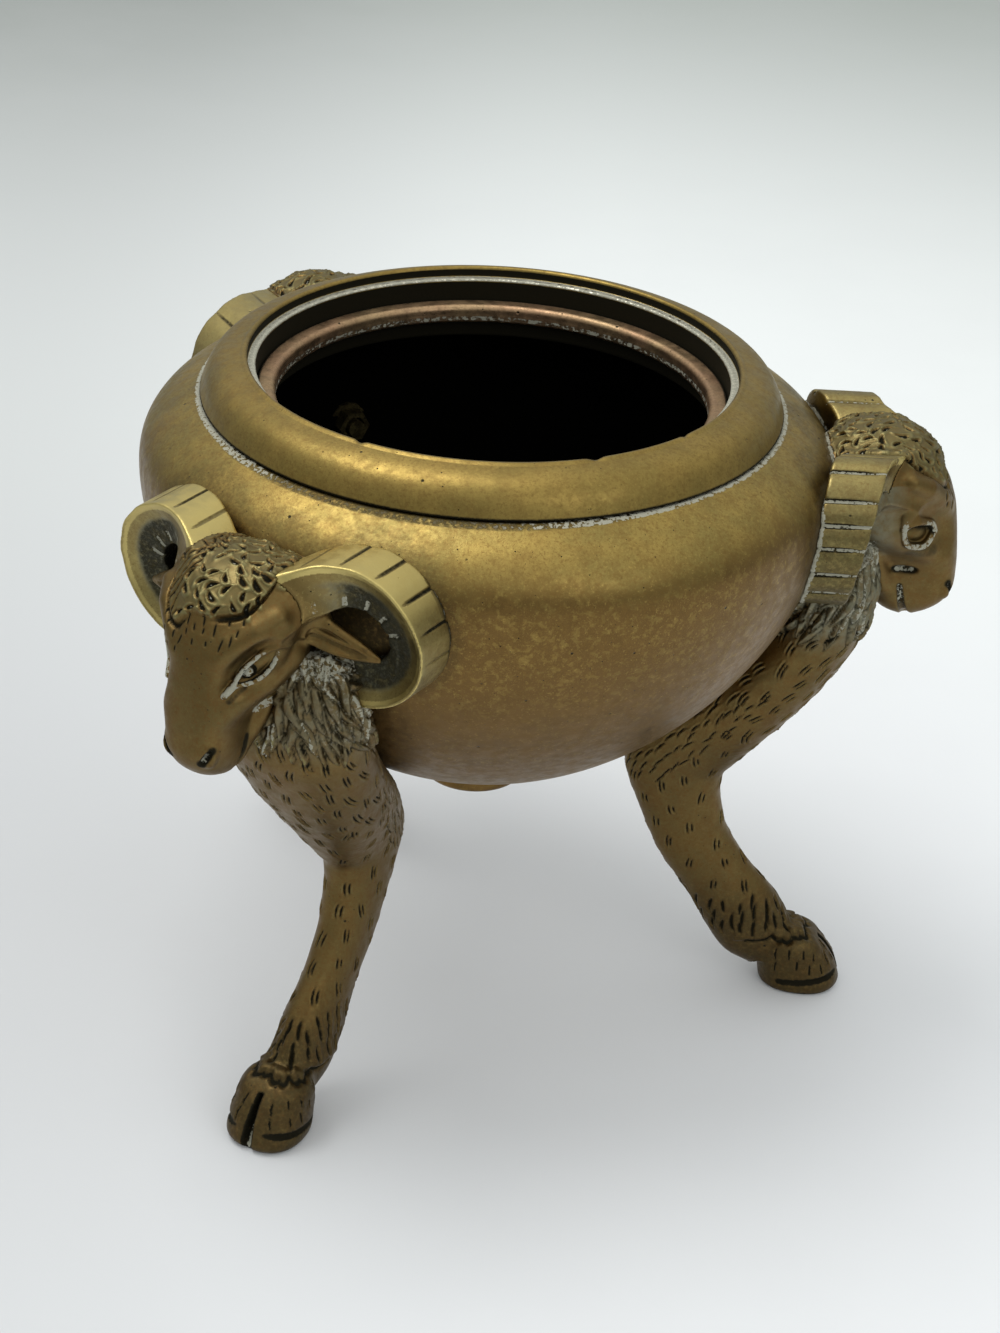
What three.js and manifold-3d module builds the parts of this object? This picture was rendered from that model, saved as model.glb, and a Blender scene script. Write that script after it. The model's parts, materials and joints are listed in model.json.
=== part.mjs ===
// Bronze tripod censer: a turned bowl on three goat legs with rams' heads, in millimetres, +Z up.
import * as THREE from "three";
import { mergeVertices } from "three/addons/utils/BufferGeometryUtils.js";
import Module from "manifold-3d";

const wasm = await Module();
wasm.setup();

// Bowl, a turned body of revolution, widest well above its middle.
const BOWL_RADIUS = 55;
const BOWL_WIDEST_HEIGHT = 95.2;
const BOWL_LOWER_DEPTH = 52.5;
const BOWL_LOWER_FULLNESS = 1.78;
const BOWL_SHOULDER_WIDTH = 9.4;
const BOWL_SHOULDER_RISE = 17.2;
const BOWL_SHOULDER_FULLNESS = 2.46;
const BOWL_WALL = 3;
const BOWL_PAD_RADIUS = 9.4;

// Collar ring, turned, seated on the shoulder of the bowl with a spigot inside its mouth.
const COLLAR_SEAT_WIDTH = 4.8;
const COLLAR_SEAT_SINK = 0.15;
const COLLAR_WALL = 2.5;
const COLLAR_RISE = 6.4;
const COLLAR_SWELL = 1.1;
const COLLAR_SPIGOT_DEPTH = 4.6;
const LIP_EDGE_WIDTH = 1.0;
const LIP_ROUNDING = 0.3;
const LID_SEAT_DEPTH = 1.7;
const LID_SEAT_WIDTH = 1.3;

// Mouth ring, turned, dropped into the collar below the lid seat.
const MOUTH_RING_DROP = 3.5;
const MOUTH_RING_HEIGHT = 2.8;
const MOUTH_RING_WIDTH = 2.8;
const MOUTH_RING_SHELF = 1.5;
const MOUTH_RING_ROUNDING = 0.9;

// Boss under the bowl, held by a stud, washer and nut through the bowl's floor.
const BOSS_RADIUS = 8.5;
const BOSS_HEIGHT = 5.0;
const BOSS_EDGE = 0.8;
const BOSS_STUD_RADIUS = 2.0;
const BOSS_WASHER_BRIM = 2.6;
const BOSS_WASHER_THICKNESS = 0.8;
const BOSS_NUT_WALL = 1.5;
const BOSS_NUT_HEIGHT = 3.0;

// Stud, washer and nut that hold each leg and its ram's head to the wall of the bowl.
const HEAD_STUD_DROP = 13.7;
const HEAD_STUD_RADIUS = 1.5;
const HEAD_STUD_BURIED = 9.0;
const HEAD_WASHER_BRIM = 1.9;
const HEAD_WASHER_THICKNESS = 0.7;
const HEAD_NUT_WALL = 1.0;
const HEAD_NUT_HEIGHT = 2.4;
const WASHER_SEAT_DEPTH = 1.3;
const STUD_PROUD = 0.8;

// Legs. The three stand at equal turns round the bowl.
const LEG_NAMES = ["b", "c", "a"];
const HOOF_CIRCLE_RADIUS = 58;
const HOOF_LENGTH = 14;
const HOOF_WIDTH = 12.4;
const HOOF_HEIGHT = 10.5;
const CLEFT_WIDTH = 1.2;
const CLEFT_LENGTH = 7.5;
const FETLOCK_DEPTH = 13.4;
const FETLOCK_WIDTH = 8.4;
const FETLOCK_HEIGHT = 13.5;
const FETLOCK_SETBACK = 10.8;
const SHANK_DEPTH = 11.4;
const SHANK_WIDTH = 6.8;
const SHANK_BOW = 1.7;
const HOCK_DROP = 6.7;
const HOCK_INSET = 20.5;
const HOCK_DEPTH = 13.6;
const HOCK_WIDTH = 8.6;
const HAUNCH_DEPTH = 16;
const HAUNCH_WIDTH = 23;
const THROAT_DEPTH = 16;
const THROAT_WIDTH = 27;

// Rams' heads. The face hangs nearly upright, its nose outwards and down.
const HEAD_RISE = 9.4;
const HEAD_LENGTH = 32.8;
const BROW_WIDTH = 21;
const MUZZLE_WIDTH = 10.4;
const FACE_REACH = 20.5;
const CROWN_WIDTH = 17;
const CROWN_DEPTH = 17;
const CROWN_HEIGHT = 12;
const CROWN_REACH = 7.5;
const CROWN_RISE = 0.6;
const EAR_LENGTH = 12;
const EAR_WIDTH = 5;
const EAR_THICKNESS = 2.4;
const EAR_ROOT_ACROSS = 8.2;
const EAR_ROOT_REACH = 5.5;
const EAR_SWEEP = 5.0;
const EAR_DROP = 9.3;
const EAR_SAG = 4.0;

// The castings are fitted by hand: how far each head is turned, set sideways and lifted.
const HEAD_FITTING = {
  a: { turn: -2, shift: -3.4, lift: -1.2 },
  b: { turn: 0, shift: 0.3, lift: 1.2 },
  c: { turn: 0, shift: 0, lift: 0 },
};

// Horns, each a flat band coiled beside the head and lying against the bowl.
const HORN_COIL_ACROSS = 15.2;
const HORN_COIL_DROP = 4.6;
const HORN_ROOT_RADIUS = 10.9;
const HORN_TIP_RADIUS = 7.3;
const HORN_ROOT_DEPTH = 9.4;
const HORN_TIP_DEPTH = 5.0;
const HORN_ROOT_BAND = 5.6;
const HORN_TIP_BAND = 3.8;
const HORN_ROOT_TURN = 140;
const HORN_OPEN_TURN = 90;
const HORN_ROOT_LIFT = 3.2;
const HORN_BEDDING = 0.4;

// Gap where pieces meet or are cut to each other, how far a cut runs past a face, and counts.
const GAP = 0.3;
const CUT_MARGIN = 8;
const TURNED_SIDES = 48;
const STUD_SIDES = 12;
const LIMB_SIDES = 14;
const EAR_SIDES = 8;
const EAR_STEPS = 5;
const HORN_STEPS = 16;

// Sizes that follow from those above. Heights are above the floor.
const COLLAR_RADIUS = BOWL_RADIUS - BOWL_SHOULDER_WIDTH;
const SPIGOT_RADIUS = COLLAR_RADIUS - COLLAR_SEAT_WIDTH;
const MOUTH_RADIUS = SPIGOT_RADIUS - COLLAR_WALL;
const SEAT_HEIGHT = bowlHeightAtShoulder(COLLAR_RADIUS) - COLLAR_SEAT_SINK;
const LIP_HEIGHT = SEAT_HEIGHT + COLLAR_RISE;
const LID_SEAT_HEIGHT = LIP_HEIGHT - LID_SEAT_DEPTH;
const MOUTH_RING_TOP = LID_SEAT_HEIGHT - MOUTH_RING_DROP;
const SPIGOT_FOOT = SEAT_HEIGHT - COLLAR_SPIGOT_DEPTH;
const PAD_HEIGHT = bowlHeightBelow(BOWL_PAD_RADIUS);
const FLOOR_HEIGHT = PAD_HEIGHT + BOWL_WALL;
const BOSS_WASHER_BASE = FLOOR_HEIGHT + GAP;
const BOSS_NUT_BASE = BOSS_WASHER_BASE + BOSS_WASHER_THICKNESS + GAP;
const HEAD_STUD_HEIGHT = BOWL_WIDEST_HEIGHT - HEAD_STUD_DROP;
const HEAD_WASHER_BASE = WASHER_SEAT_DEPTH - GAP - HEAD_WASHER_THICKNESS;
const HEAD_NUT_BASE = HEAD_WASHER_BASE - GAP - HEAD_NUT_HEIGHT;
const HEAD_TOP_HEIGHT = BOWL_WIDEST_HEIGHT + HEAD_RISE;
const HORN_COIL_HEIGHT = BOWL_WIDEST_HEIGHT - HORN_COIL_DROP;

const { degToRad: radians, lerp } = THREE.MathUtils;

// Metals
const metal = (color, roughness) => new THREE.MeshStandardMaterial({ color, roughness, metalness: 1 });
const bowlBronze = () => metal(0x8a7236, 0.42);
const collarBronze = () => metal(0x93793a, 0.4);
const copperBronze = () => metal(0x9a6b4a, 0.5);
const castBronze = () => metal(0x776138, 0.48);
const hornBronze = () => metal(0x86703c, 0.45);
const dullBrass = () => metal(0x6e6140, 0.6);

// Makes a closed solid from a geometry, with shared corners merged and slivers left out.
function solid(geometry) {
  const plain = geometry.clone();
  plain.deleteAttribute("normal");
  plain.deleteAttribute("uv");
  const merged = mergeVertices(plain, 1e-4);
  const corners = merged.index.array;
  const kept = [];
  for (let i = 0; i < corners.length; i += 3) {
    const [a, b, c] = [corners[i], corners[i + 1], corners[i + 2]];
    if (a !== b && b !== c && c !== a) kept.push(a, b, c);
  }
  const places = merged.attributes.position.array;
  if (signedVolume(places, kept) < 0) kept.reverse();
  const mesh = new wasm.Mesh({
    numProp: 3,
    vertProperties: new Float32Array(places),
    triVerts: new Uint32Array(kept),
  });
  return new wasm.Manifold(mesh);
}

function signedVolume(places, corners) {
  const point = (i) => new THREE.Vector3().fromArray(places, 3 * i);
  let sum = 0;
  for (let i = 0; i < corners.length; i += 3) {
    sum += point(corners[i]).dot(point(corners[i + 1]).cross(point(corners[i + 2])));
  }
  return sum;
}

function piece(name, body, material) {
  const { vertProperties, triVerts } = body.getMesh();
  const geometry = new THREE.BufferGeometry();
  geometry.setAttribute("position", new THREE.BufferAttribute(new Float32Array(vertProperties), 3));
  geometry.setIndex(new THREE.BufferAttribute(new Uint32Array(triVerts), 1));
  const mesh = new THREE.Mesh(geometry, material);
  mesh.name = name;
  return mesh;
}

// A solid of revolution about +Z from [radius, height] pairs.
function turned(profile, sides = TURNED_SIDES) {
  const points = profile.map(([radius, height]) => new THREE.Vector2(radius, height));
  return solid(new THREE.LatheGeometry(points, sides).rotateX(Math.PI / 2));
}

// A solid of revolution that is a ring: its profile closes on itself.
const turnedRing = (profile, sides) => turned([...profile, profile[0]], sides);

// A round bar along +Z.
const rod = (radius, from, to) => turned([[0, from], [radius, from], [radius, to], [0, to]], STUD_SIDES);

// A solid lofted through rings of equal count, closed by a fan at each end.
function loftThrough(rings) {
  const count = rings[0].length;
  const places = rings.flat().flatMap((point) => point.toArray());
  const corners = [];
  for (let ring = 0; ring + 1 < rings.length; ring++) {
    for (let i = 0; i < count; i++) {
      const a = ring * count + i;
      const b = ring * count + ((i + 1) % count);
      corners.push(a, b, a + count, b, b + count, a + count);
    }
  }
  for (const [ring, flip] of [[0, true], [rings.length - 1, false]]) {
    const centre = new THREE.Vector3();
    rings[ring].forEach((point) => centre.addScaledVector(point, 1 / count));
    const middle = places.length / 3;
    places.push(...centre.toArray());
    for (let i = 0; i < count; i++) {
      const a = ring * count + i;
      const b = ring * count + ((i + 1) % count);
      corners.push(...(flip ? [b, a, middle] : [a, b, middle]));
    }
  }
  const geometry = new THREE.BufferGeometry();
  geometry.setAttribute("position", new THREE.Float32BufferAttribute(places, 3));
  geometry.setIndex(corners);
  return solid(geometry);
}

// One oval section: depth lies along `out`, width along `side`; `wedge` narrows it towards `out`.
function oval({ at, out, side, depth, width, wedge = 0 }, grow = 0, sides = LIMB_SIDES) {
  const ring = [];
  for (let i = 0; i < sides; i++) {
    const angle = (2 * Math.PI * (i + 0.5)) / sides;
    const along = Math.cos(angle) * (depth / 2 + grow);
    const across = Math.sin(angle) * (width / 2 + grow) * (1 - wedge * Math.cos(angle));
    ring.push(at.clone().addScaledVector(out, along).addScaledVector(side, across));
  }
  return ring;
}

// Outline of the bowl: a superellipse above its widest line and another below.
function bowlRadiusAt(height) {
  const rise = height - BOWL_WIDEST_HEIGHT;
  const reach = rise < 0 ? BOWL_LOWER_DEPTH : BOWL_SHOULDER_RISE;
  const fullness = rise < 0 ? BOWL_LOWER_FULLNESS : BOWL_SHOULDER_FULLNESS;
  const share = Math.min(Math.abs(rise) / reach, 1);
  return BOWL_RADIUS * (1 - share ** fullness) ** (1 / fullness);
}

function bowlHeightAtShoulder(radius) {
  const share = (1 - (radius / BOWL_RADIUS) ** BOWL_SHOULDER_FULLNESS) ** (1 / BOWL_SHOULDER_FULLNESS);
  return BOWL_WIDEST_HEIGHT + BOWL_SHOULDER_RISE * share;
}

function bowlHeightBelow(radius) {
  const share = (1 - (radius / BOWL_RADIUS) ** BOWL_LOWER_FULLNESS) ** (1 / BOWL_LOWER_FULLNESS);
  return BOWL_WIDEST_HEIGHT - BOWL_LOWER_DEPTH * share;
}

// Points down the outside of the bowl, from the collar's seat to the flat pad underneath.
function bowlOutline(inset) {
  const points = [];
  const shoulderSteps = 6;
  const topShare = (SEAT_HEIGHT - BOWL_WIDEST_HEIGHT) / BOWL_SHOULDER_RISE;
  const topTurn = Math.asin(topShare ** (BOWL_SHOULDER_FULLNESS / 2));
  for (let i = 0; i < shoulderSteps; i++) {
    const turn = topTurn * (1 - i / shoulderSteps);
    points.push([
      (BOWL_RADIUS - inset) * Math.cos(turn) ** (2 / BOWL_SHOULDER_FULLNESS),
      BOWL_WIDEST_HEIGHT + (BOWL_SHOULDER_RISE - inset) * Math.sin(turn) ** (2 / BOWL_SHOULDER_FULLNESS),
    ]);
  }
  const lowerSteps = 11;
  const padTurn = Math.acos((BOWL_PAD_RADIUS / BOWL_RADIUS) ** (BOWL_LOWER_FULLNESS / 2));
  for (let i = 0; i <= lowerSteps; i++) {
    const turn = (padTurn * i) / lowerSteps;
    points.push([
      (BOWL_RADIUS - inset) * Math.cos(turn) ** (2 / BOWL_LOWER_FULLNESS),
      BOWL_WIDEST_HEIGHT - (BOWL_LOWER_DEPTH - inset) * Math.sin(turn) ** (2 / BOWL_LOWER_FULLNESS),
    ]);
  }
  return points;
}

// The bowl's outside, grown by a gap: what every leg, head and horn is cut to.
function bowlEnvelope(gap) {
  return turned([[0, SEAT_HEIGHT + gap], ...bowlOutline(-gap), [0, PAD_HEIGHT - gap]]);
}

// The bowl: an open shell with a hole for the boss and one for each head's stud.
function makeBowl(studPlaces) {
  const inside = bowlOutline(BOWL_WALL).filter(([, height]) => height < SPIGOT_FOOT && height > FLOOR_HEIGHT);
  const shell = turned([
    [0, PAD_HEIGHT],
    [BOWL_PAD_RADIUS, PAD_HEIGHT],
    ...bowlOutline(0).reverse().slice(1),
    [SPIGOT_RADIUS + GAP, SEAT_HEIGHT],
    [SPIGOT_RADIUS + GAP, SPIGOT_FOOT],
    ...inside,
    [BOWL_PAD_RADIUS, FLOOR_HEIGHT],
    [0, FLOOR_HEIGHT],
  ]);
  const bossHole = rod(BOSS_STUD_RADIUS + GAP, PAD_HEIGHT - CUT_MARGIN, FLOOR_HEIGHT + CUT_MARGIN);
  const cuts = studPlaces.flatMap((place) => [studHole(place), washerSeat(place)]);
  return cuts.reduce((body, cut) => body.subtract(cut), shell.subtract(bossHole));
}

// The collar: a swelling outside, a flat lip, the lid's seat and the shelf of the mouth ring.
function makeCollar() {
  const base = SEAT_HEIGHT + GAP;
  const bore = MOUTH_RADIUS - LID_SEAT_WIDTH;
  const shelf = MOUTH_RING_TOP - MOUTH_RING_HEIGHT - GAP;
  const lipOuter = MOUTH_RADIUS + LIP_EDGE_WIDTH;
  const outside = [];
  const steps = 5;
  for (let i = 0; i <= steps; i++) {
    const share = i / steps;
    const swell = COLLAR_SWELL * Math.sin(Math.PI * share);
    outside.push([
      lerp(COLLAR_RADIUS, lipOuter, share) + swell,
      lerp(base, LIP_HEIGHT - LIP_ROUNDING, share) + swell,
    ]);
  }
  return turnedRing([
    ...outside,
    [lipOuter - LIP_ROUNDING, LIP_HEIGHT],
    [MOUTH_RADIUS + LIP_ROUNDING, LIP_HEIGHT],
    [MOUTH_RADIUS, LIP_HEIGHT - LIP_ROUNDING],
    [MOUTH_RADIUS, LID_SEAT_HEIGHT],
    [bore, LID_SEAT_HEIGHT],
    [bore, shelf],
    [bore - MOUTH_RING_SHELF, shelf],
    [bore - MOUTH_RING_SHELF, SPIGOT_FOOT],
    [SPIGOT_RADIUS, SPIGOT_FOOT],
    [SPIGOT_RADIUS, base],
  ]);
}

// The mouth ring, with its inner upper edge rounded over.
function makeMouthRing() {
  const bottom = MOUTH_RING_TOP - MOUTH_RING_HEIGHT;
  const outer = MOUTH_RADIUS - LID_SEAT_WIDTH - GAP;
  const inner = outer - MOUTH_RING_WIDTH;
  const rounding = [];
  const steps = 3;
  for (let i = 0; i <= steps; i++) {
    const turn = (i / steps) * (Math.PI / 2);
    rounding.push([
      inner + MOUTH_RING_ROUNDING * (1 - Math.sin(turn)),
      MOUTH_RING_TOP - MOUTH_RING_ROUNDING * (1 - Math.cos(turn)),
    ]);
  }
  return turnedRing([[outer, bottom], [outer, MOUTH_RING_TOP], ...rounding, [inner, bottom]]);
}

// The boss with its stud, one turned piece.
function makeBoss() {
  const top = PAD_HEIGHT - GAP;
  const bottom = top - BOSS_HEIGHT;
  const studTop = BOSS_NUT_BASE + BOSS_NUT_HEIGHT + STUD_PROUD;
  return turned(
    [
      [0, bottom],
      [BOSS_RADIUS - BOSS_EDGE, bottom],
      [BOSS_RADIUS, bottom + BOSS_EDGE],
      [BOSS_RADIUS, top - BOSS_EDGE / 2],
      [BOSS_RADIUS - BOSS_EDGE / 2, top],
      [BOSS_STUD_RADIUS, top],
      [BOSS_STUD_RADIUS, studTop],
      [0, studTop],
    ],
    STUD_SIDES * 2,
  );
}

// A washer or a hexagonal nut along +Z from a base height, with a hole that clears its stud.
function washer(studRadius, brim, thickness, base) {
  const [inner, outer, top] = [studRadius + GAP, studRadius + brim, base + thickness];
  return turnedRing([[inner, base], [outer, base], [outer, top], [inner, top]], STUD_SIDES);
}

function nut(studRadius, wall, height, base) {
  const corner = (studRadius + wall) / Math.cos(Math.PI / 6);
  const corners = [0, 1, 2, 3, 4, 5].map((i) => {
    const turn = (i * Math.PI) / 3;
    return new THREE.Vector2(corner * Math.cos(turn), corner * Math.sin(turn));
  });
  const hexagon = new THREE.Shape(corners);
  hexagon.holes.push(new THREE.Path().absarc(0, 0, studRadius + GAP, 0, 2 * Math.PI, true));
  const settings = { depth: height, bevelEnabled: false, curveSegments: STUD_SIDES };
  return solid(new THREE.ExtrudeGeometry(hexagon, settings).translate(0, 0, base));
}

// Each leg's own frame: `out` points away from the bowl's axis, `side` along the bowl's rim.
function legFrame(turn) {
  const out = new THREE.Vector3(Math.cos(radians(turn)), Math.sin(radians(turn)), 0);
  const side = new THREE.Vector3(-out.y, out.x, 0);
  const up = new THREE.Vector3(0, 0, 1);
  const place = (reach, across, height) => {
    return out.clone().multiplyScalar(reach).addScaledVector(side, across).addScaledVector(up, height);
  };
  return { out, side, up, place };
}

// The head's frame is the leg's, turned a little about the head's fixing stud.
function headFrame(turn, fitting) {
  const leg = legFrame(turn);
  const pivotReach = bowlRadiusAt(HEAD_STUD_HEIGHT);
  const pivot = leg.place(pivotReach, fitting.shift, fitting.lift);
  const { out, side, up, place: placeTurned } = legFrame(turn + fitting.turn);
  const place = (reach, across, height) => placeTurned(reach - pivotReach, across, height).add(pivot);
  return { out, side, up, place };
}

// Bands down the head: `down` is a share of its length, `back` lies beyond the bowl's widest line,
// `face` lies beyond the face's reach.
const brow = (share) => BROW_WIDTH * share;
const muzzle = (share) => MUZZLE_WIDTH * share;
const HEAD_BANDS = [
  { down: 0.0, back: -1.0, face: -8.5, width: brow(0.5), wedge: 0 },
  { down: 0.1, back: -4.0, face: -4.8, width: brow(0.85), wedge: 0.1 },
  { down: 0.24, back: -5.0, face: -2.9, width: brow(1), wedge: 0.2 },
  { down: 0.4, back: -5.0, face: -1.2, width: brow(0.98), wedge: 0.3 },
  { down: 0.55, back: -3.0, face: -0.4, width: brow(0.8), wedge: 0.32 },
  { down: 0.7, back: 1.0, face: 0, width: muzzle(1.15), wedge: 0.25 },
  { down: 0.84, back: 6.0, face: 0.2, width: muzzle(1), wedge: 0.1 },
  { down: 0.94, back: 8.5, face: -1.5, width: muzzle(0.9), wedge: 0.1 },
  { down: 1.0, back: 11.0, face: -4.5, width: muzzle(0.55), wedge: 0 },
];

function headLoft(frame, grow) {
  const rings = HEAD_BANDS.map(({ down, back, face, width, wedge }) => {
    const front = FACE_REACH + face;
    const end = down === 0 ? grow : down === 1 ? -grow : 0;
    const at = frame.place(BOWL_RADIUS + (back + front) / 2, 0, HEAD_TOP_HEIGHT - HEAD_LENGTH * down + end);
    return oval({ at, out: frame.out, side: frame.side, depth: front - back, width, wedge }, grow);
  });
  return loftThrough(rings);
}

// The woolly crown between the horns.
function crown(frame, grow) {
  const ball = new THREE.SphereGeometry(1, 14, 9);
  ball.scale(CROWN_DEPTH / 2 + grow, CROWN_WIDTH / 2 + grow, CROWN_HEIGHT / 2 + grow);
  ball.rotateZ(Math.atan2(frame.out.y, frame.out.x));
  const height = HEAD_TOP_HEIGHT + CROWN_RISE - CROWN_HEIGHT / 2;
  ball.translate(...frame.place(BOWL_RADIUS + CROWN_REACH, 0, height).toArray());
  return solid(ball);
}

// An ear: a flat leaf from the cheek, under the horn, pointing sideways and swept to the bowl.
function ear(frame, hand, grow) {
  const rings = [];
  for (let i = 0; i <= EAR_STEPS; i++) {
    const share = i / EAR_STEPS;
    const fullness = Math.sin(Math.PI * lerp(0.28, 0.96, share));
    const at = frame.place(
      BOWL_RADIUS + EAR_ROOT_REACH - EAR_SWEEP * share,
      hand * (EAR_ROOT_ACROSS + EAR_LENGTH * share),
      HEAD_TOP_HEIGHT - EAR_DROP - EAR_SAG * share,
    );
    const [depth, width] = [EAR_THICKNESS * fullness, EAR_WIDTH * fullness];
    rings.push(oval({ at, out: frame.out, side: frame.up, depth, width }, grow, EAR_SIDES));
  }
  return loftThrough(rings);
}

function headSolid(frame, grow) {
  return headLoft(frame, grow).add(crown(frame, grow)).add(ear(frame, 1, grow)).add(ear(frame, -1, grow));
}

// A horn: a band coiled in a plane that lies against the bowl, wide at the root.
function hornSolid(frame, hand, grow) {
  const rings = [];
  for (let i = 0; i <= HORN_STEPS; i++) {
    const share = i / HORN_STEPS;
    const turn = radians(HORN_ROOT_TURN - (360 - HORN_OPEN_TURN) * share);
    const radius = lerp(HORN_ROOT_RADIUS, HORN_TIP_RADIUS, share ** 1.6);
    const across = HORN_COIL_ACROSS + radius * Math.cos(turn);
    const height = HORN_COIL_HEIGHT + radius * Math.sin(turn);
    const taper = share ** 0.8;
    const depth = lerp(HORN_ROOT_DEPTH, HORN_TIP_DEPTH, taper);
    const band = lerp(HORN_ROOT_BAND, HORN_TIP_BAND, taper);
    const wall = Math.sqrt(Math.max(bowlRadiusAt(height) ** 2 - across ** 2, 0));
    const lift = HORN_ROOT_LIFT * (1 - share) ** 4 - HORN_BEDDING;
    const at = frame.place(wall + depth / 2 + lift, hand * across, height);
    const rim = frame.side.clone().multiplyScalar(hand * Math.cos(turn));
    rim.addScaledVector(frame.up, Math.sin(turn));
    rings.push(hornSection(at, frame.out, rim, depth / 2 + grow, band / 2 + grow));
  }
  return loftThrough(rings);
}

// A horn's section: a box across the band with its edges taken off, in halves of depth and band.
function hornSection(at, out, rim, halfDepth, halfBand) {
  const outline = [[-1, -0.8], [-1, 0.8], [-0.6, 1], [0.75, 1], [1, 0.75], [1, -0.7], [0.8, -1], [-0.6, -1]];
  return outline.map(([x, y]) => at.clone().addScaledVector(out, x * halfDepth).addScaledVector(rim, y * halfBand));
}

// Where a leg lies along the bowl: `down` is a share of the bowl's lower depth, `off` stands off its
// wall, `tilt` is the section's slope in degrees.
const ALONG_BOWL = [
  { down: 0.118, off: 2.5, tilt: 0, depth: THROAT_DEPTH * 0.6, width: THROAT_WIDTH * 0.75 },
  { down: 0.251, off: 3.5, tilt: 10, depth: THROAT_DEPTH * 0.85, width: THROAT_WIDTH },
  { down: 0.404, off: 5.0, tilt: 24, depth: THROAT_DEPTH, width: THROAT_WIDTH * 0.98 },
  { down: 0.556, off: 6.0, tilt: 38, depth: HAUNCH_DEPTH, width: HAUNCH_WIDTH },
  { down: 0.699, off: 6.2, tilt: 46, depth: HAUNCH_DEPTH, width: HAUNCH_WIDTH * 0.8 },
  { down: 0.813, off: 7.0, tilt: 24, depth: HAUNCH_DEPTH * 1.1, width: HAUNCH_WIDTH * 0.56 },
];

// Where a leg stands free: `down` is a share of the way from hock to fetlock, `bow` sets it inwards.
const BELOW_BOWL = [
  { down: -0.26, bow: -1.8, tilt: 0, depth: HOCK_DEPTH * 1.32, width: HOCK_WIDTH * 1.12 },
  { down: 0, bow: 0, tilt: -8, depth: HOCK_DEPTH, width: HOCK_WIDTH },
  { down: 0.4, bow: SHANK_BOW, tilt: -28, depth: SHANK_DEPTH * 1.06, width: SHANK_WIDTH * 1.1 },
  { down: 0.73, bow: SHANK_BOW * 0.4, tilt: -34, depth: SHANK_DEPTH, width: SHANK_WIDTH },
  { down: 1, bow: 0, tilt: -36, depth: FETLOCK_DEPTH, width: FETLOCK_WIDTH },
  { down: 1.19, bow: -0.6, tilt: -38, depth: FETLOCK_DEPTH, width: FETLOCK_WIDTH },
  { down: 1.33, bow: -2.0, tilt: -40, depth: FETLOCK_DEPTH * 0.7, width: FETLOCK_WIDTH * 0.8 },
];

function legStations() {
  const along = ALONG_BOWL.map(({ down, off, tilt, ...section }) => {
    const height = BOWL_WIDEST_HEIGHT - down * BOWL_LOWER_DEPTH;
    const reach = bowlRadiusAt(height) + off * Math.cos(radians(tilt));
    return { reach, height: height - off * Math.sin(radians(tilt)), tilt, ...section };
  });
  const hock = { reach: BOWL_RADIUS - HOCK_INSET, height: BOWL_WIDEST_HEIGHT - BOWL_LOWER_DEPTH - HOCK_DROP };
  const fetlock = { reach: HOOF_CIRCLE_RADIUS - FETLOCK_SETBACK, height: FETLOCK_HEIGHT };
  const below = BELOW_BOWL.map(({ down, bow, ...section }) => ({
    reach: lerp(hock.reach, fetlock.reach, down) - bow,
    height: lerp(hock.height, fetlock.height, down),
    ...section,
  }));
  return [...along, ...below];
}

// A leg down to its hoof: throat and haunch lie along the bowl, the shank slants out to the hoof.
function legLimb(frame) {
  const rings = legStations().map(({ reach, height, tilt, depth, width }) => {
    const out = frame.out.clone().multiplyScalar(Math.cos(radians(tilt)));
    out.addScaledVector(frame.up, -Math.sin(radians(tilt)));
    return oval({ at: frame.place(reach, 0, height), out, side: frame.side, depth, width });
  });
  return loftThrough(rings);
}

// The hoof: flat on the floor, leaning back to the coronet, in shares of its height, length and width.
const HOOF_BANDS = [
  { up: 0, forward: 0, length: 0.92, width: 0.94 },
  { up: 0.12, forward: 0.02, length: 1.0, width: 1.0 },
  { up: 0.45, forward: -0.05, length: 0.95, width: 0.96 },
  { up: 0.8, forward: -0.16, length: 0.78, width: 0.84 },
  { up: 1, forward: -0.24, length: 0.5, width: 0.6 },
];
const HOOF_TOE_WIDENING = 0.08;

function hoof(frame) {
  const rings = HOOF_BANDS.map(({ up, forward, length, width }) =>
    oval({
      at: frame.place(HOOF_CIRCLE_RADIUS + HOOF_LENGTH * forward, 0, HOOF_HEIGHT * up),
      out: frame.out,
      side: frame.side,
      depth: HOOF_LENGTH * length,
      width: HOOF_WIDTH * width,
      wedge: -HOOF_TOE_WIDENING,
    }),
  );
  return loftThrough(rings);
}

// The cleft between the two claws: a wedge that opens towards the toe.
function cleft(frame) {
  const toe = HOOF_CIRCLE_RADIUS + HOOF_LENGTH / 2;
  const past = toe + CUT_MARGIN;
  const wedge = [
    [toe - CLEFT_LENGTH, -CUT_MARGIN, 0.3],
    [toe - CLEFT_LENGTH, HOOF_HEIGHT * 0.6, 0.2],
    [toe, HOOF_HEIGHT * 0.8, 0.7],
    [past, HOOF_HEIGHT * 0.8, 1],
    [past, -CUT_MARGIN, 1],
    [toe, -CUT_MARGIN, 1],
  ];
  const ring = (hand) => wedge.map(([reach, height, opening]) => {
    return frame.place(reach, (hand * opening * CLEFT_WIDTH) / 2, height);
  });
  return loftThrough([ring(-1), ring(1)]);
}

// A head's stud runs straight out from the bowl's axis; its own +Z starts at the wall's inside.
function studPlace(turn) {
  const { out, side, up, place } = legFrame(turn);
  const start = place(bowlRadiusAt(HEAD_STUD_HEIGHT) - BOWL_WALL, 0, HEAD_STUD_HEIGHT);
  return new THREE.Matrix4().makeBasis(side, up, out).setPosition(start);
}

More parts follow.
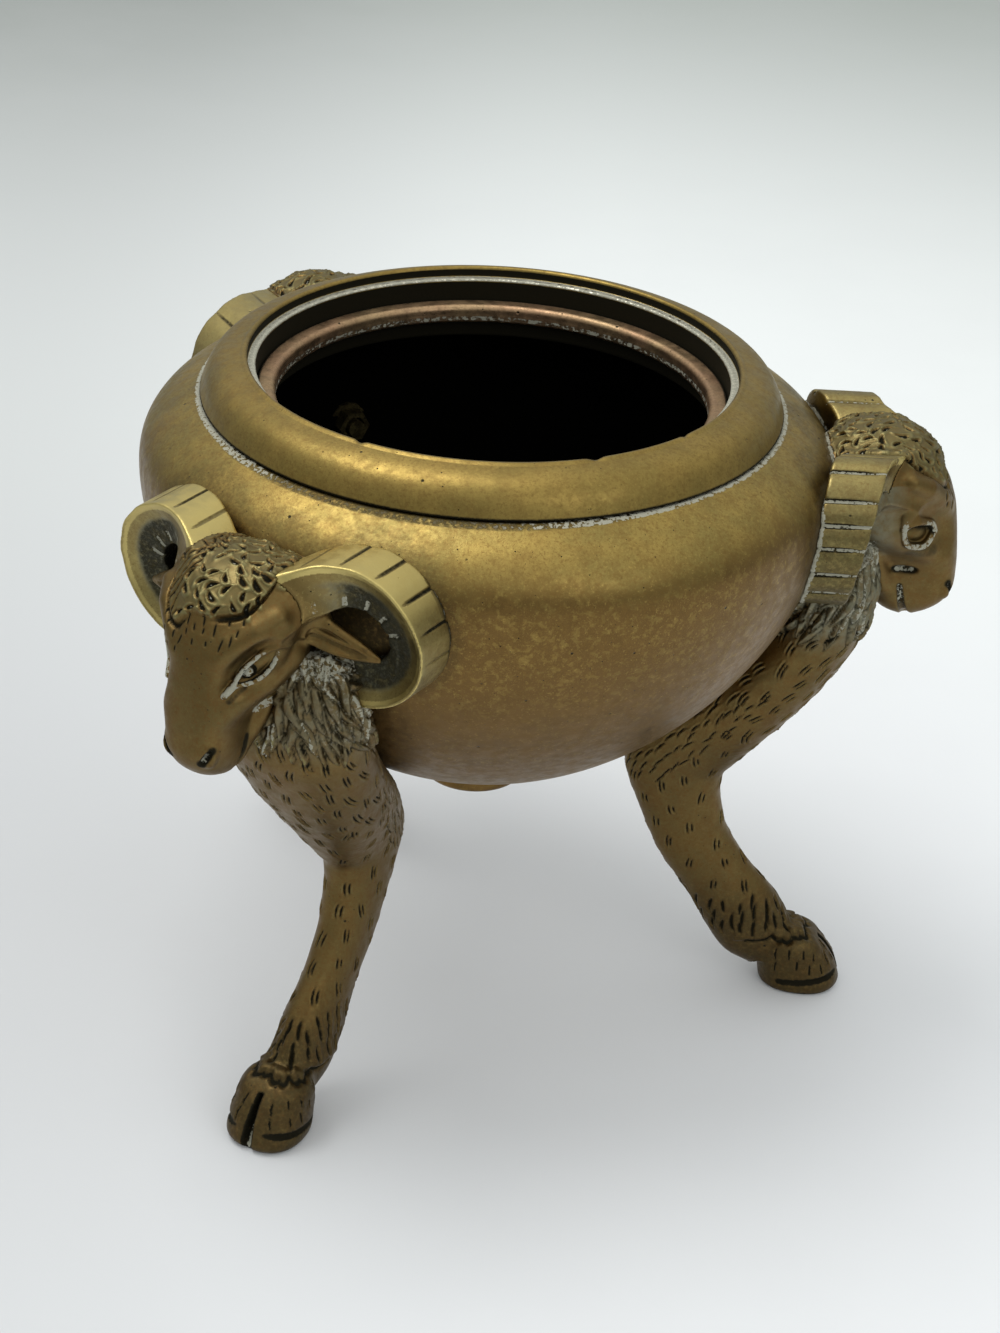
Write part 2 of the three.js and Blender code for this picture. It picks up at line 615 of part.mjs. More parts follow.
const atStud = (place, body) => body.transform(place.toArray());
const studHole = (place) => atStud(place, rod(HEAD_STUD_RADIUS + GAP, -CUT_MARGIN, BOWL_WALL + CUT_MARGIN));

// A flat face sunk into the inside of the wall, for the washer.
function washerSeat(place) {
  const radius = HEAD_STUD_RADIUS + HEAD_WASHER_BRIM + GAP;
  return atStud(place, rod(radius, -CUT_MARGIN, WASHER_SEAT_DEPTH));
}

function headStud(place) {
  return atStud(place, rod(HEAD_STUD_RADIUS, HEAD_NUT_BASE - STUD_PROUD, BOWL_WALL + HEAD_STUD_BURIED));
}

function headStudPocket(place) {
  const depth = BOWL_WALL + HEAD_STUD_BURIED + GAP;
  return atStud(place, rod(HEAD_STUD_RADIUS + GAP, -CUT_MARGIN, depth));
}

function headWasher(place) {
  return atStud(place, washer(HEAD_STUD_RADIUS, HEAD_WASHER_BRIM, HEAD_WASHER_THICKNESS, HEAD_WASHER_BASE));
}

function headNut(place) {
  return atStud(place, nut(HEAD_STUD_RADIUS, HEAD_NUT_WALL, HEAD_NUT_HEIGHT, HEAD_NUT_BASE));
}

// One leg's pieces, each cut to the bowl and to its neighbours with a small gap.
function makeLeg(name, turn) {
  const leg = legFrame(turn);
  const head = headFrame(turn, HEAD_FITTING[name]);
  const stud = studPlace(turn);
  const bowl = bowlEnvelope(GAP);
  const pocket = headStudPocket(stud);
  const headGrown = headSolid(head, GAP);
  const horn = (hand) => hornSolid(head, hand, 0).subtract(bowl).subtract(headGrown);
  const hornsGrown = hornSolid(head, 1, GAP).add(hornSolid(head, -1, GAP));
  const limb = legLimb(leg).add(hoof(leg)).subtract(cleft(leg));
  const limbCut = limb.subtract(bowl).subtract(headGrown).subtract(hornsGrown).subtract(pocket);
  return [
    piece(`leg_${name}`, limbCut, castBronze()),
    piece(`ram_head_${name}`, headSolid(head, 0).subtract(bowl).subtract(pocket), castBronze()),
    piece(`horn_left_${name}`, horn(1), hornBronze()),
    piece(`horn_right_${name}`, horn(-1), hornBronze()),
    piece(`head_stud_${name}`, headStud(stud), dullBrass()),
    piece(`head_washer_${name}`, headWasher(stud), dullBrass()),
    piece(`head_nut_${name}`, headNut(stud), dullBrass()),
  ];
}

const turns = LEG_NAMES.map((_, i) => (360 / LEG_NAMES.length) * i);
const bossWasher = washer(BOSS_STUD_RADIUS, BOSS_WASHER_BRIM, BOSS_WASHER_THICKNESS, BOSS_WASHER_BASE);
const bossNut = nut(BOSS_STUD_RADIUS, BOSS_NUT_WALL, BOSS_NUT_HEIGHT, BOSS_NUT_BASE);
const censer = new THREE.Group();
censer.add(
  piece("bowl", makeBowl(turns.map(studPlace)), bowlBronze()),
  piece("collar_ring", makeCollar(), collarBronze()),
  piece("mouth_ring", makeMouthRing(), copperBronze()),
  piece("base_boss", makeBoss(), bowlBronze()),
  piece("base_washer", bossWasher, dullBrass()),
  piece("base_nut", bossNut, dullBrass()),
);
LEG_NAMES.forEach((name, i) => censer.add(...makeLeg(name, turns[i])));

// The model's origin is on the floor, at the middle of the whole outline seen from above.
const middle = new THREE.Box3().setFromObject(censer).getCenter(new THREE.Vector3());
censer.position.set(-middle.x, -middle.y, 0);

export default censer;
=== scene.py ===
# Bronze tripod censer: the finish and fine shapes of every piece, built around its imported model.
import json
import math

import bpy
import numpy as np
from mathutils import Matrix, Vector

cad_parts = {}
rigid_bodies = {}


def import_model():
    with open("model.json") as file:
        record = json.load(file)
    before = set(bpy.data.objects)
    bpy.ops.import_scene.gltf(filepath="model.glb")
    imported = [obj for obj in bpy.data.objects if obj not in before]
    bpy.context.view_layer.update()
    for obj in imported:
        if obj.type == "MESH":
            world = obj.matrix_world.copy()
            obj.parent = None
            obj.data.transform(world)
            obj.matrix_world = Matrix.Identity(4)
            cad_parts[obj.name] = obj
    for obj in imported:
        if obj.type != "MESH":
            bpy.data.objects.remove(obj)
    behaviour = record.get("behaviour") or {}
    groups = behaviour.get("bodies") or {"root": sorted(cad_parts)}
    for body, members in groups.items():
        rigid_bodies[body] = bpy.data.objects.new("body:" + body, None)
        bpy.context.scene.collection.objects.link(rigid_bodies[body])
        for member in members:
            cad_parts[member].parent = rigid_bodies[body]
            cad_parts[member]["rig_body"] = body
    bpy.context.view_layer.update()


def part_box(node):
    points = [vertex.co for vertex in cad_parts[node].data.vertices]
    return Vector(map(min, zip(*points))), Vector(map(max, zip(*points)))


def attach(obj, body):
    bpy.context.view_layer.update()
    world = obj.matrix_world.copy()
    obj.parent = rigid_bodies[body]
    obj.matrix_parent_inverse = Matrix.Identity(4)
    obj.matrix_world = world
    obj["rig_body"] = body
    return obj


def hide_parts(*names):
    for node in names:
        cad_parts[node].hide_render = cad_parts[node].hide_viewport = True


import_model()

import openvdb
from mathutils import Matrix, Vector

# Lengths below are millimetres in the bowl's own frame: its axis is x = y = 0 and the floor is z = 0.
MM = 0.001
boss_low, boss_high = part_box("base_boss")
AXIS = np.array([(boss_low.x + boss_high.x) / 2, (boss_low.y + boss_high.y) / 2, 0.0])


def box_mm(node):
    low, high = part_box(node)
    return (np.array(low) - AXIS) / MM, (np.array(high) - AXIS) / MM


def in_metres(places):
    """Places in the frame, in metres, from places in the bowl's own frame."""
    return np.asarray(places) * MM + AXIS


def add_object(name, data):
    thing = bpy.data.objects.new(name, data)
    bpy.context.scene.collection.objects.link(thing)
    return thing


# Turned pieces: sizes read from the frame, and the ones that a box can't tell.
BOWL_RADIUS = box_mm("bowl")[1][0]
SEAT_HEIGHT = box_mm("bowl")[1][2]
PAD_HEIGHT = box_mm("bowl")[0][2]
LIP_HEIGHT = box_mm("collar_ring")[1][2]
SPIGOT_FOOT = box_mm("collar_ring")[0][2]
RING_TOP = box_mm("mouth_ring")[1][2]
RING_BOTTOM = box_mm("mouth_ring")[0][2]
RING_OUTER = box_mm("mouth_ring")[1][0]
BOSS_TOP = PAD_HEIGHT - 0.3
BOSS_BOTTOM = box_mm("base_boss")[0][2]
BOSS_RADIUS = box_mm("base_boss")[1][0]
STUD_TOP = box_mm("base_boss")[1][2]
GAP = 0.3
BOWL_WALL = 3.0
WIDEST_HEIGHT = 95.2
LOWER_DEPTH = 52.5
LOWER_FULLNESS = 1.78
SHOULDER_RISE = 17.2
SHOULDER_FULLNESS = 2.46
PAD_RADIUS = 9.4
COLLAR_RADIUS = 45.6
COLLAR_SWELL = 1.1
SPIGOT_RADIUS = 40.8
MOUTH_RADIUS = 38.3
LID_SEAT_DEPTH = 1.7
LID_SEAT_WIDTH = 1.3
RING_WIDTH = 2.8
RING_ROUNDING = 0.9
BOSS_STUD_RADIUS = 2.0

# Legs: the turn of each round the bowl, and how its head is fitted.
LEG_TURNS = {"b": 0, "c": 120, "a": 240}
HEAD_FITTING = {
    "a": {"turn": -2, "shift": -3.4, "lift": -1.2},
    "b": {"turn": 0, "shift": 0.3, "lift": 1.2},
    "c": {"turn": 0, "shift": 0, "lift": 0},
}
HEAD_STUD_HEIGHT = 81.5

HEAD_STEP = 0.2
LEG_STEP = 0.25


def ease(value, low, high):
    share = np.clip((value - low) / (high - low), 0, 1)
    return share * share * (3 - 2 * share)


def blend(a, b, share):
    return a + (b - a) * share


# Meshes
def make_piece(name, places, faces, replaced, values):
    """A smooth mesh piece from millimetre places, with named values on its points."""
    mesh = bpy.data.meshes.new(name)
    mesh.from_pydata(in_metres(places), [], faces)
    mesh.polygons.foreach_set("use_smooth", np.ones(len(mesh.polygons), bool))
    for key, data in values.items():
        layer = mesh.attributes.new(key, "FLOAT", "POINT")
        layer.data.foreach_set("value", np.asarray(data, np.float32))
    piece = add_object(name, mesh)
    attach(piece, "root")
    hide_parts(*replaced)
    return piece


def along(points, spacing):
    """Points at an even spacing along a polyline, its own corners kept."""
    out = []
    for start, end in zip(points[:-1], points[1:]):
        start, end = np.array(start, float), np.array(end, float)
        count = max(1, int(np.ceil(np.linalg.norm(end - start) / spacing)))
        out.extend(start + (end - start) * i / count for i in range(count))
    out.append(np.array(points[-1], float))
    return np.array(out)


def turned(name, outline, sides, values, reshape=None, closed=True):
    """A body of revolution from [radius, height] points that run round its section."""
    outline = np.asarray(outline, float)
    turn = 2 * np.pi * np.arange(sides) / sides
    radius = np.repeat(outline[:, 0], sides)
    height = np.repeat(outline[:, 1], sides)
    angle = np.tile(turn, len(outline))
    if reshape:
        radius, height = reshape(radius, height, angle)
    places = np.stack([radius * np.cos(angle), radius * np.sin(angle), height], 1)
    rows = len(outline)
    row = np.arange(rows if closed else rows - 1)[:, None]
    column = np.arange(sides)[None, :]
    after = (column + 1) % sides
    below = (row + 1) % rows
    faces = np.stack(np.broadcast_arrays(
        row * sides + column, row * sides + after, below * sides + after, below * sides + column,
    ), -1).reshape(-1, 4)
    faces = faces.tolist()
    if not closed:
        faces.append(list(range(sides))[::-1])
        faces.append([(rows - 1) * sides + i for i in range(sides)])
    data = values(radius, height, angle)
    return make_piece(f"{name}_turning", places, faces, [name], data)


def bowl_radius_at(height, grow=0.0):
    rise = np.asarray(height, float) - WIDEST_HEIGHT
    reach = np.where(rise < 0, LOWER_DEPTH, SHOULDER_RISE) + grow
    fullness = np.where(rise < 0, LOWER_FULLNESS, SHOULDER_FULLNESS)
    share = np.clip(np.abs(rise) / reach, 0, 1)
    return (BOWL_RADIUS + grow) * (1 - share ** fullness) ** (1 / fullness)


def bowl_outline(grow, top, bottom, steps):
    """Points of the bowl's outline from a height near the top down to one near the bottom."""
    up = np.clip((top - WIDEST_HEIGHT) / (SHOULDER_RISE + grow), 0, 1)
    down = np.clip((WIDEST_HEIGHT - bottom) / (LOWER_DEPTH + grow), 0, 1)
    first = np.arcsin(up ** (SHOULDER_FULLNESS / 2))
    last = np.arcsin(down ** (LOWER_FULLNESS / 2))
    points = []
    for share in np.linspace(0, 1, steps):
        turn = blend(first, -last, share)
        fullness = SHOULDER_FULLNESS if turn > 0 else LOWER_FULLNESS
        reach = SHOULDER_RISE if turn > 0 else LOWER_DEPTH
        rise = np.sign(turn) * abs(math.sin(turn)) ** (2 / fullness) * (reach + grow)
        points.append([(BOWL_RADIUS + grow) * math.cos(turn) ** (2 / fullness), WIDEST_HEIGHT + rise])
    return points


# Clay: a block of distances on a grid, negative inside, that shapes are added to and carved from.
FAR = 4.0


def smooth_min(a, b, reach):
    if reach <= 0:
        return np.minimum(a, b)
    near = np.maximum(reach - np.abs(a - b), 0) / reach
    return np.minimum(a, b) - near * near * reach / 4


def smooth_max(a, b, reach):
    return -smooth_min(-a, -b, reach)


class Clay:
    def __init__(self, low, high, step):
        self.low = np.array(low, np.float32)
        self.step = step
        counts = np.ceil((np.array(high) - low) / step).astype(int) + 1
        self.axes = [(self.low[i] + step * np.arange(n)).astype(np.float32) for i, n in enumerate(counts)]
        self.field = np.full(counts, FAR, np.float32)

    def everywhere(self):
        x, y, z = self.axes
        return x[:, None, None], y[None, :, None], z[None, None, :]

    def window(self, low, high):
        spans = []
        for i, line in enumerate(self.axes):
            first = max(int(np.floor((low[i] - line[0]) / self.step)), 0)
            last = min(int(np.ceil((high[i] - line[0]) / self.step)) + 1, len(line))
            spans.append(slice(first, max(last, first)))
        x, y, z = (line[span] for line, span in zip(self.axes, spans))
        return tuple(spans), (x[:, None, None], y[None, :, None], z[None, None, :])

    def change(self, shape, reach, carve=False):
        margin = reach + 1.0
        low, high, distance = shape
        spans, (x, y, z) = self.window(np.array(low) - margin, np.array(high) + margin)
        block = self.field[spans]
        if block.size == 0:
            return
        values = distance(x, y, z)
        block[...] = smooth_max(block, -values, reach) if carve else smooth_min(block, values, reach)

    def add(self, shape, reach=0.0):
        self.change(shape, reach)

    def carve(self, shape, reach=0.0):
        self.change(shape, reach, carve=True)

    def sample(self, x, y, z):
        """The field's value at places that need not lie on the grid."""
        index, part = [], []
        inside = True
        for i, place in enumerate((x, y, z)):
            spot = (place - self.low[i]) / self.step
            limit = self.field.shape[i] - 1
            inside = inside & (spot >= 0) & (spot <= limit)
            base = np.clip(np.floor(spot).astype(np.int32), 0, limit - 1)
            index.append(base)
            part.append(np.clip(spot - base, 0, 1).astype(np.float32))
        value = 0
        for corner in range(8):
            offset = [(corner >> i) & 1 for i in range(3)]
            weight = 1
            for i in range(3):
                weight = weight * (part[i] if offset[i] else 1 - part[i])
            value = value + weight * self.field[tuple(index[i] + offset[i] for i in range(3))]
        return np.where(inside, value, FAR)


def skin(field, low, step):
    """Places and faces of the surface where a field is zero."""
    grid = openvdb.FloatGrid(FAR)
    grid.copyFromArray(np.ascontiguousarray(np.clip(field, -FAR, FAR), np.float32))
    places, faces = grid.convertToQuads(0.0)
    return places * step + np.asarray(low), faces


# Shapes for the clay: lowest corner, highest corner and a distance
def ball(centre, radii, axes=np.eye(3)):
    """An ellipsoid, with its half sizes along three directions."""
    centre, radii = np.array(centre, np.float32), np.broadcast_to(np.array(radii, np.float32), 3)
    axes = np.array(axes, np.float32)
    reach = (np.abs(axes) * radii[:, None]).sum(0)

    def distance(x, y, z):
        dx, dy, dz = x - centre[0], y - centre[1], z - centre[2]
        steps = [dx * axis[0] + dy * axis[1] + dz * axis[2] for axis in axes]
        near = np.sqrt(sum((step / radius) ** 2 for step, radius in zip(steps, radii)))
        slope = np.sqrt(sum((step / radius ** 2) ** 2 for step, radius in zip(steps, radii)))
        return near * (near - 1) / np.maximum(slope, 1e-6)

    return centre - reach, centre + reach, distance


def rope(points, radii):
    """A round rope through points, with a radius at each."""
    points = np.array(points, np.float32)
    radii = np.broadcast_to(np.array(radii, np.float32), len(points))

    def distance(x, y, z):
        best = None
        for i in range(len(points) - 1):
            start, end = points[i], points[i + 1]
            step = end - start
            length = max(float(step @ step), 1e-9)
            share = ((x - start[0]) * step[0] + (y - start[1]) * step[1] + (z - start[2]) * step[2]) / length
            share = np.clip(share, 0, 1)
            away = np.sqrt(
                (x - start[0] - share * step[0]) ** 2
                + (y - start[1] - share * step[1]) ** 2
                + (z - start[2] - share * step[2]) ** 2
            )
            value = away - blend(radii[i], radii[i + 1], share)
            best = value if best is None else np.minimum(best, value)
        return best

    widest = radii.max()
    return points.min(0) - widest, points.max(0) + widest, distance


def faired(marks, values, line, softness):
    """Values between marks along a line, rounded off over a softness."""
    order = np.argsort(marks)
    marks, values = np.array(marks, float)[order], np.array(values, float)[order]
    fine = np.linspace(marks[0], marks[-1], 400)
    spacing = fine[1] - fine[0]
    raw = np.interp(fine, marks, values)
    width = max(int(3 * softness / spacing), 1)
    kernel = np.exp(-0.5 * (np.arange(-width, width + 1) * spacing / softness) ** 2)
    padded = np.concatenate([np.full(width, raw[0]), raw, np.full(width, raw[-1])])
    smooth = np.convolve(padded, kernel / kernel.sum(), "valid")
    return np.interp(line, fine, smooth).astype(np.float32)


def faired_bands(bands, heights, line, softness):
    """Each measure of a list of bands at the heights of a line, laid out for the clay."""
    measures = list(zip(*bands))[1:]
    return [faired(heights, measure, line, softness)[None, None, :] for measure in measures]


def section(x, y, depth, width, fullness):
    """Distance to an oval section, from coordinates about its middle and its half sizes."""
    u, v = np.abs(x / depth), np.abs(y / width)
    near = (u ** fullness + v ** fullness) ** (1 / fullness)
    slope = np.sqrt((u / depth) ** 2 + (v / width) ** 2)
    return near * (near - 1) / np.maximum(slope, 1e-4)


# The ram's head, in its own frame: x outwards from the bowl's axis, y sideways, z up. The clay holds
# the half with y above zero, and the other half mirrors it.
HEAD_LOW, HEAD_HIGH = (45.0, 0.0, 70.0), (79.0, 31.2, 108.4)
HEAD_BANDS = [
    # height, back, front, half width, wedge, fullness
    (105.2, 56.0, 66.0, 3.5, 0.0, 2.0),
    (103.6, 53.0, 69.2, 6.6, 0.0, 2.0),
    (101.3, 51.0, 70.9, 8.6, 0.1, 2.1),
    (96.7, 50.0, 73.0, 9.9, 0.2, 2.2),
    (91.5, 50.0, 74.5, 9.9, 0.3, 2.4),
    (86.6, 52.0, 75.2, 8.3, 0.2, 2.7),
    (81.6, 57.0, 75.7, 4.7, -0.3, 3.0),
    (77.0, 60.5, 75.8, 4.6, -0.2, 2.8),
    (74.2, 62.5, 74.6, 4.4, -0.05, 2.5),
    (72.6, 63.8, 72.6, 3.7, 0.0, 2.2),
    (71.6, 65.5, 70.6, 2.2, 0.0, 2.0),
]
HEAD_TOP, HEAD_BOTTOM = 105.4, 71.6
SLANTED_EYE = {"pupil": (68.8, 6.2, 90.2), "along": (-0.53, 0.55, 0.65), "out": (0.69, 0.72, -0.04),
               "middle": 1.75, "half": 4.5, "upper": 1.4, "lower": -2.0, "lid": 0.4, "bead": 0.9,
               "square": 2.0, "corner": (1.6, 0.3)}
LEVEL_EYE = {"pupil": (67.4, 6.0, 89.3), "along": (-0.83, 0.52, 0.2), "out": (0.53, 0.85, 0.0),
             "middle": 0.6, "half": 3.1, "upper": 1.6, "lower": -2.6, "lid": 0.6, "bead": 0.0,
             "square": 4.0, "corner": (0.1, 2.0)}
EAR_ROOT, EAR_TIP = np.array([60.5, 8.2, 95.3]), np.array([56.5, 20.8, 91.0])
NOSTRIL = np.array([74.5, 3.4, 77.3])
NOSTRIL_AXES = ((0.86, 0.5, 0.0), (0.425, -0.731, 0.517), (-0.26, 0.45, 0.85))
DIMPLE = np.array([67.0, 4.9, 80.8])
MOUTH = [(66.6, 4.9, 77.8), (66.9, 4.7, 76.2), (67.2, 4.4, 74.4), (67.8, 3.4, 72.6), (68.6, 2.0, 71.4)]
JAW_STREAKS = [
    [(60.5, 7.8, 84.2), (63.5, 5.8, 82.4), (65.0, 5.1, 81.4)],
    [(63.8, 4.2, 76.8), (65.0, 3.2, 73.9)],
]

# Forms laid over the bands: the middle and half sizes of a ball, or the places and radii of a rope
CROWN_MIDDLE, CROWN_SIZE = (62.3, 0.0, 99.4), (8.9, 8.8, 6.3)
SOCKET = ((73.6, 10.4, 88.2), (5.6, 5.3, 6.0))
BROW = ([(72.0, 3.8, 92.8), (70.8, 5.3, 94.5), (68.6, 7.8, 96.6), (66.0, 9.6, 98.2)], [0.8, 1.3, 1.5, 1.2])
CHEEK = ([(69.6, 5.0, 85.4), (65.4, 7.0, 87.2), (61.5, 8.4, 90.0)], [1.4, 1.8, 1.8])
JAW = ([(61.5, 5.4, 83.5), (64.4, 3.4, 77.5), (68.3, 1.4, 73.6)], [1.7, 1.6, 1.6])
PUPIL_RING_RADIUS = 1.05

# What sets the three heads apart: the eye, the middle of the horns' coils, how far a coil is squeezed
# sideways and how much further its end stands off the bowl, how much lower the crown lies, whether hair
# lies flat on the far side and the cheek has a dimple, how dusty the face is under the horns and how dark
# its painted shade is there, the width, depth and taper of the slits across the horns' rims, how far the
# rim swells between them, the turn in degrees and the strength of each slit, how much residue fills the
# slits and how much the rim is lightened for wear and painted highlight, the residue at the bowl, and the
# throat's dust.
HEAD_LOOKS = {
    "a": {
        "eye": SLANTED_EYE, "across": 15.2, "coil": 92.2, "squeeze": 1.0, "stand": 0.0, "drop": 2.8,
        "flat_hair": True, "dimple": False, "shaded": 0.0,
        "slit": 0.2, "slit_depth": 0.3, "slit_taper": 0.0, "swell": 0.1,
        "notches": [(26, 0.45), (48, 0.8), (71, 0.8), (95, 1.0), (119, 1.0), (143, 0.5)],
        "filled": 0.0, "rim": 0.9, "seam": 0.5, "dusty": 0.55,
    },
    "b": {
        "eye": LEVEL_EYE, "across": 13.0, "coil": 89.8, "squeeze": 1.3, "stand": 0.7, "drop": 3.5,
        "flat_hair": False, "dimple": True, "shaded": 1.0,
        "slit": 0.36, "slit_depth": 0.42, "slit_taper": 0.75, "swell": 0.22,
        "notches": [(36, 0.6), (65, 1.0), (92, 1.0), (111, 1.0), (129, 1.0), (151, 1.0), (173, 0.8)],
        "filled": 1.0, "rim": 0.0, "seam": 1.35, "dusty": 0.9,
    },
    "c": {
        "eye": SLANTED_EYE, "across": 15.2, "coil": 89.5, "squeeze": 1.0, "stand": 0.0, "drop": 4.0,
        "flat_hair": False, "dimple": False, "shaded": 0.0,
        "slit": 0.18, "slit_depth": 0.22, "slit_taper": 0.3, "swell": 0.15,
        "notches": [(40, 0.5), (75, 0.8), (110, 0.6)],
        "filled": 0.0, "rim": 0.4, "seam": 0.6, "dusty": 0.6,
    },
}
LEG_SEAM = 0.8
HEAD_SEED, LEG_SEED = 40, 70

# Horns: a band coiled in a plane that lies against the bowl
COIL_ROOT_RADIUS, COIL_TIP_RADIUS = 9.9, 5.9
COIL_ROOT_DEPTH, COIL_TIP_DEPTH = 9.4, 5.0
COIL_ROOT_BAND, COIL_TIP_BAND = 7.6, 6.6
COIL_ROOT_TURN, COIL_SWEEP = 140.0, 270.0
COIL_ROOT_LIFT = 3.2
COIL_BEDDING = 0.4
COIL_START = -0.06
HORN_REACH, HORN_RETREAT = 3.4, 0.7


class Eye:
    """An eye's own directions: along its slit from the nose, up, and out of the face."""

    def __init__(self, shape):
        self.pupil, self.out = np.array(shape["pupil"]), np.array(shape["out"])
        slit = np.array(shape["along"])
        slit = slit - self.out * (slit @ self.out)
        self.along = slit / np.linalg.norm(slit)
        self.up = np.cross(self.out, self.along)
        self.axes = (self.along, self.up, self.out)
        self.middle, self.half = shape["middle"], shape["half"]
        self.upper, self.lower = shape["upper"], shape["lower"]
        self.lid_radius, self.bead = shape["lid"], shape["bead"]
        self.square, self.corner = shape["square"], shape["corner"]
        self.fall = np.zeros(7)

    def seat(self, clay):
        """Measures how the face falls away round the pupil, so that the lids lie on it."""
        line = np.arange(-5.0, 3.0, 0.1)
        terms, found = [], []
        for length in np.linspace(-4.0, 8.0, 17):
            for height in (-2.4, -1.2, 0.0, 1.2, 2.4):
                start = self.pupil + self.along * length + self.up * height
                within = np.flatnonzero(clay.sample(*(start[:, None] + self.out[:, None] * line)) < 0)
                if len(within) and line[within[-1]] < 2.5:
                    terms.append(self.terms(length, height))
                    found.append(line[within[-1]])
        self.fall = np.linalg.lstsq(np.array(terms), np.array(found), rcond=None)[0]

    @staticmethod
    def terms(length, height):
        return [1, length, length ** 2, length ** 3, height, height ** 2, length * height]

    def face(self, length, height):
        """Height of the face along the eye's outward direction; far away, as at the eye's ends."""
        length, height = np.clip(length, -5.5, 8.0), np.clip(height, -3.0, 3.0)
        return sum(part * term for part, term in zip(self.fall, self.terms(length, height)))

    def place(self, length, height, out=0.0):
        """A place by its offsets from the pupil and its height above the face."""
        lift = out + self.face(length, height)
        return self.pupil + self.along * length + self.up * height + self.out * lift

    def lid(self, height, out):
        """Points along a lid, from the inner corner of the eye to the outer one."""
        points = []
        for share in np.sin(np.linspace(-np.pi / 2, np.pi / 2, 15)):
            rise = height * (1 - abs(share) ** self.square)
            bulge = 0.25 * (1 - share * share)
            points.append(self.place(self.middle + self.half * share, rise, out + bulge))
        return points

    def offsets(self, places):
        step = places - self.pupil
        length, height = step @ self.along, step @ self.up
        return length, height, step @ self.out - self.face(length, height)


def model_head(clay, eye, look):
    x, y, z = clay.everywhere()

    def lowered(height):
        return height - look["drop"] * ease(height, 93.0, 104.0)

    heights = [lowered(band[0]) for band in HEAD_BANDS]
    back, front, width, wedge, fullness = faired_bands(HEAD_BANDS, heights, clay.axes[2], 0.9)
    middle, depth = (front + back) / 2, (front - back) / 2
    lean = np.clip((x - middle) / depth, -1, 1)
    body = section(x - middle, y, depth, width * (1 - wedge * lean), fullness)
    body = smooth_max(body, np.maximum(z - lowered(HEAD_TOP), HEAD_BOTTOM - z), 1.6)
    clay.field[...] = np.minimum(clay.field, body)
    # Crown, socket, brow, cheek and jaw
    crown_x, crown_y, crown_z = CROWN_MIDDLE
    clay.add(ball((crown_x, crown_y, lowered(crown_z)), CROWN_SIZE), 2.0)
    clay.carve(ball(*SOCKET), 2.0)
    for form, reach in ((BROW, 2.6), (CHEEK, 2.0), (JAW, 1.2)):
        clay.add(rope(*form), reach)
    eye.seat(clay)
    model_eye(clay, eye)
    # Nostril, mouth and dimple
    clay.add(ball(NOSTRIL + [-0.5, 0, 0], (0.9, 1.1, 1.7)), 0.9)
    clay.carve(ball(NOSTRIL + [0.3, 0.2, 0], (0.8, 0.55, 1.5), NOSTRIL_AXES), 0.3)
    clay.carve(rope(MOUTH, [0.3, 0.45, 0.55, 0.6, 0.9]), 0.3)
    if look["dimple"]:
        clay.carve(ball(DIMPLE, (2.1, 0.9, 0.7)), 0.5)


def model_eye(clay, eye):
    """An almond between thick raised lids, with a pupil's ring and a crease at each corner."""
    near, far = eye.middle - eye.half, eye.middle + eye.half
    low = (eye.upper + eye.lower) / 2
    tall = (eye.upper - eye.lower) / 2
    clay.carve(ball(eye.place(eye.middle, low, 2.1), (eye.half + 1.8, tall + 1.9, 2.1), eye.axes), 0.8)
    clay.add(ball(eye.place(eye.middle, low, -1.3), (eye.half + 1.3, tall + 1.2, 1.9), eye.axes), 1.2)
    clay.carve(ball(eye.place(eye.middle, low, 0.75), (eye.half - 0.1, tall - 0.1, 1.2), eye.axes), 0.3)
    clay.add(ball(eye.place(eye.middle, low, -1.05), (eye.half - 0.4, tall, 1.35), eye.axes), 0.1)
    clay.add(rope(eye.lid(eye.upper, 0.4), eye.lid_radius), 0.2)
    clay.add(rope(eye.lid(eye.lower, 0.35), eye.lid_radius), 0.2)
    right, rise = eye.corner
    clay.add(rope([eye.place(far, 0, 0.3), eye.place(far + right, rise, 0.4)], [0.55, 0.72]), 0.2)
    if eye.bead:
        clay.add(rope([eye.place(near, 0, 0.3), eye.place(near - 1.9, -0.1, 0.35)], [0.6, 0.5]), 0.2)
        crease = [eye.place(near + 0.6, -1.5, 0.2), eye.place(near - 1.9, -1.2, 0.3)]
        clay.carve(rope(crease, [0.35, 0.45]), 0.3)
        clay.carve(ball(eye.place(far + 1.4, -1.5, 0.2), 0.7), 0.3)
        ring = [
            eye.place(PUPIL_RING_RADIUS * math.cos(turn), PUPIL_RING_RADIUS * math.sin(turn), 0.2)
            for turn in np.linspace(0, 2 * math.pi, 13)
        ]
        clay.carve(rope(ring, 0.3), 0.1)
        clay.add(ball(eye.place(0, 0, 0.0), (0.85, 0.85, 0.65), eye.axes), 0.1)


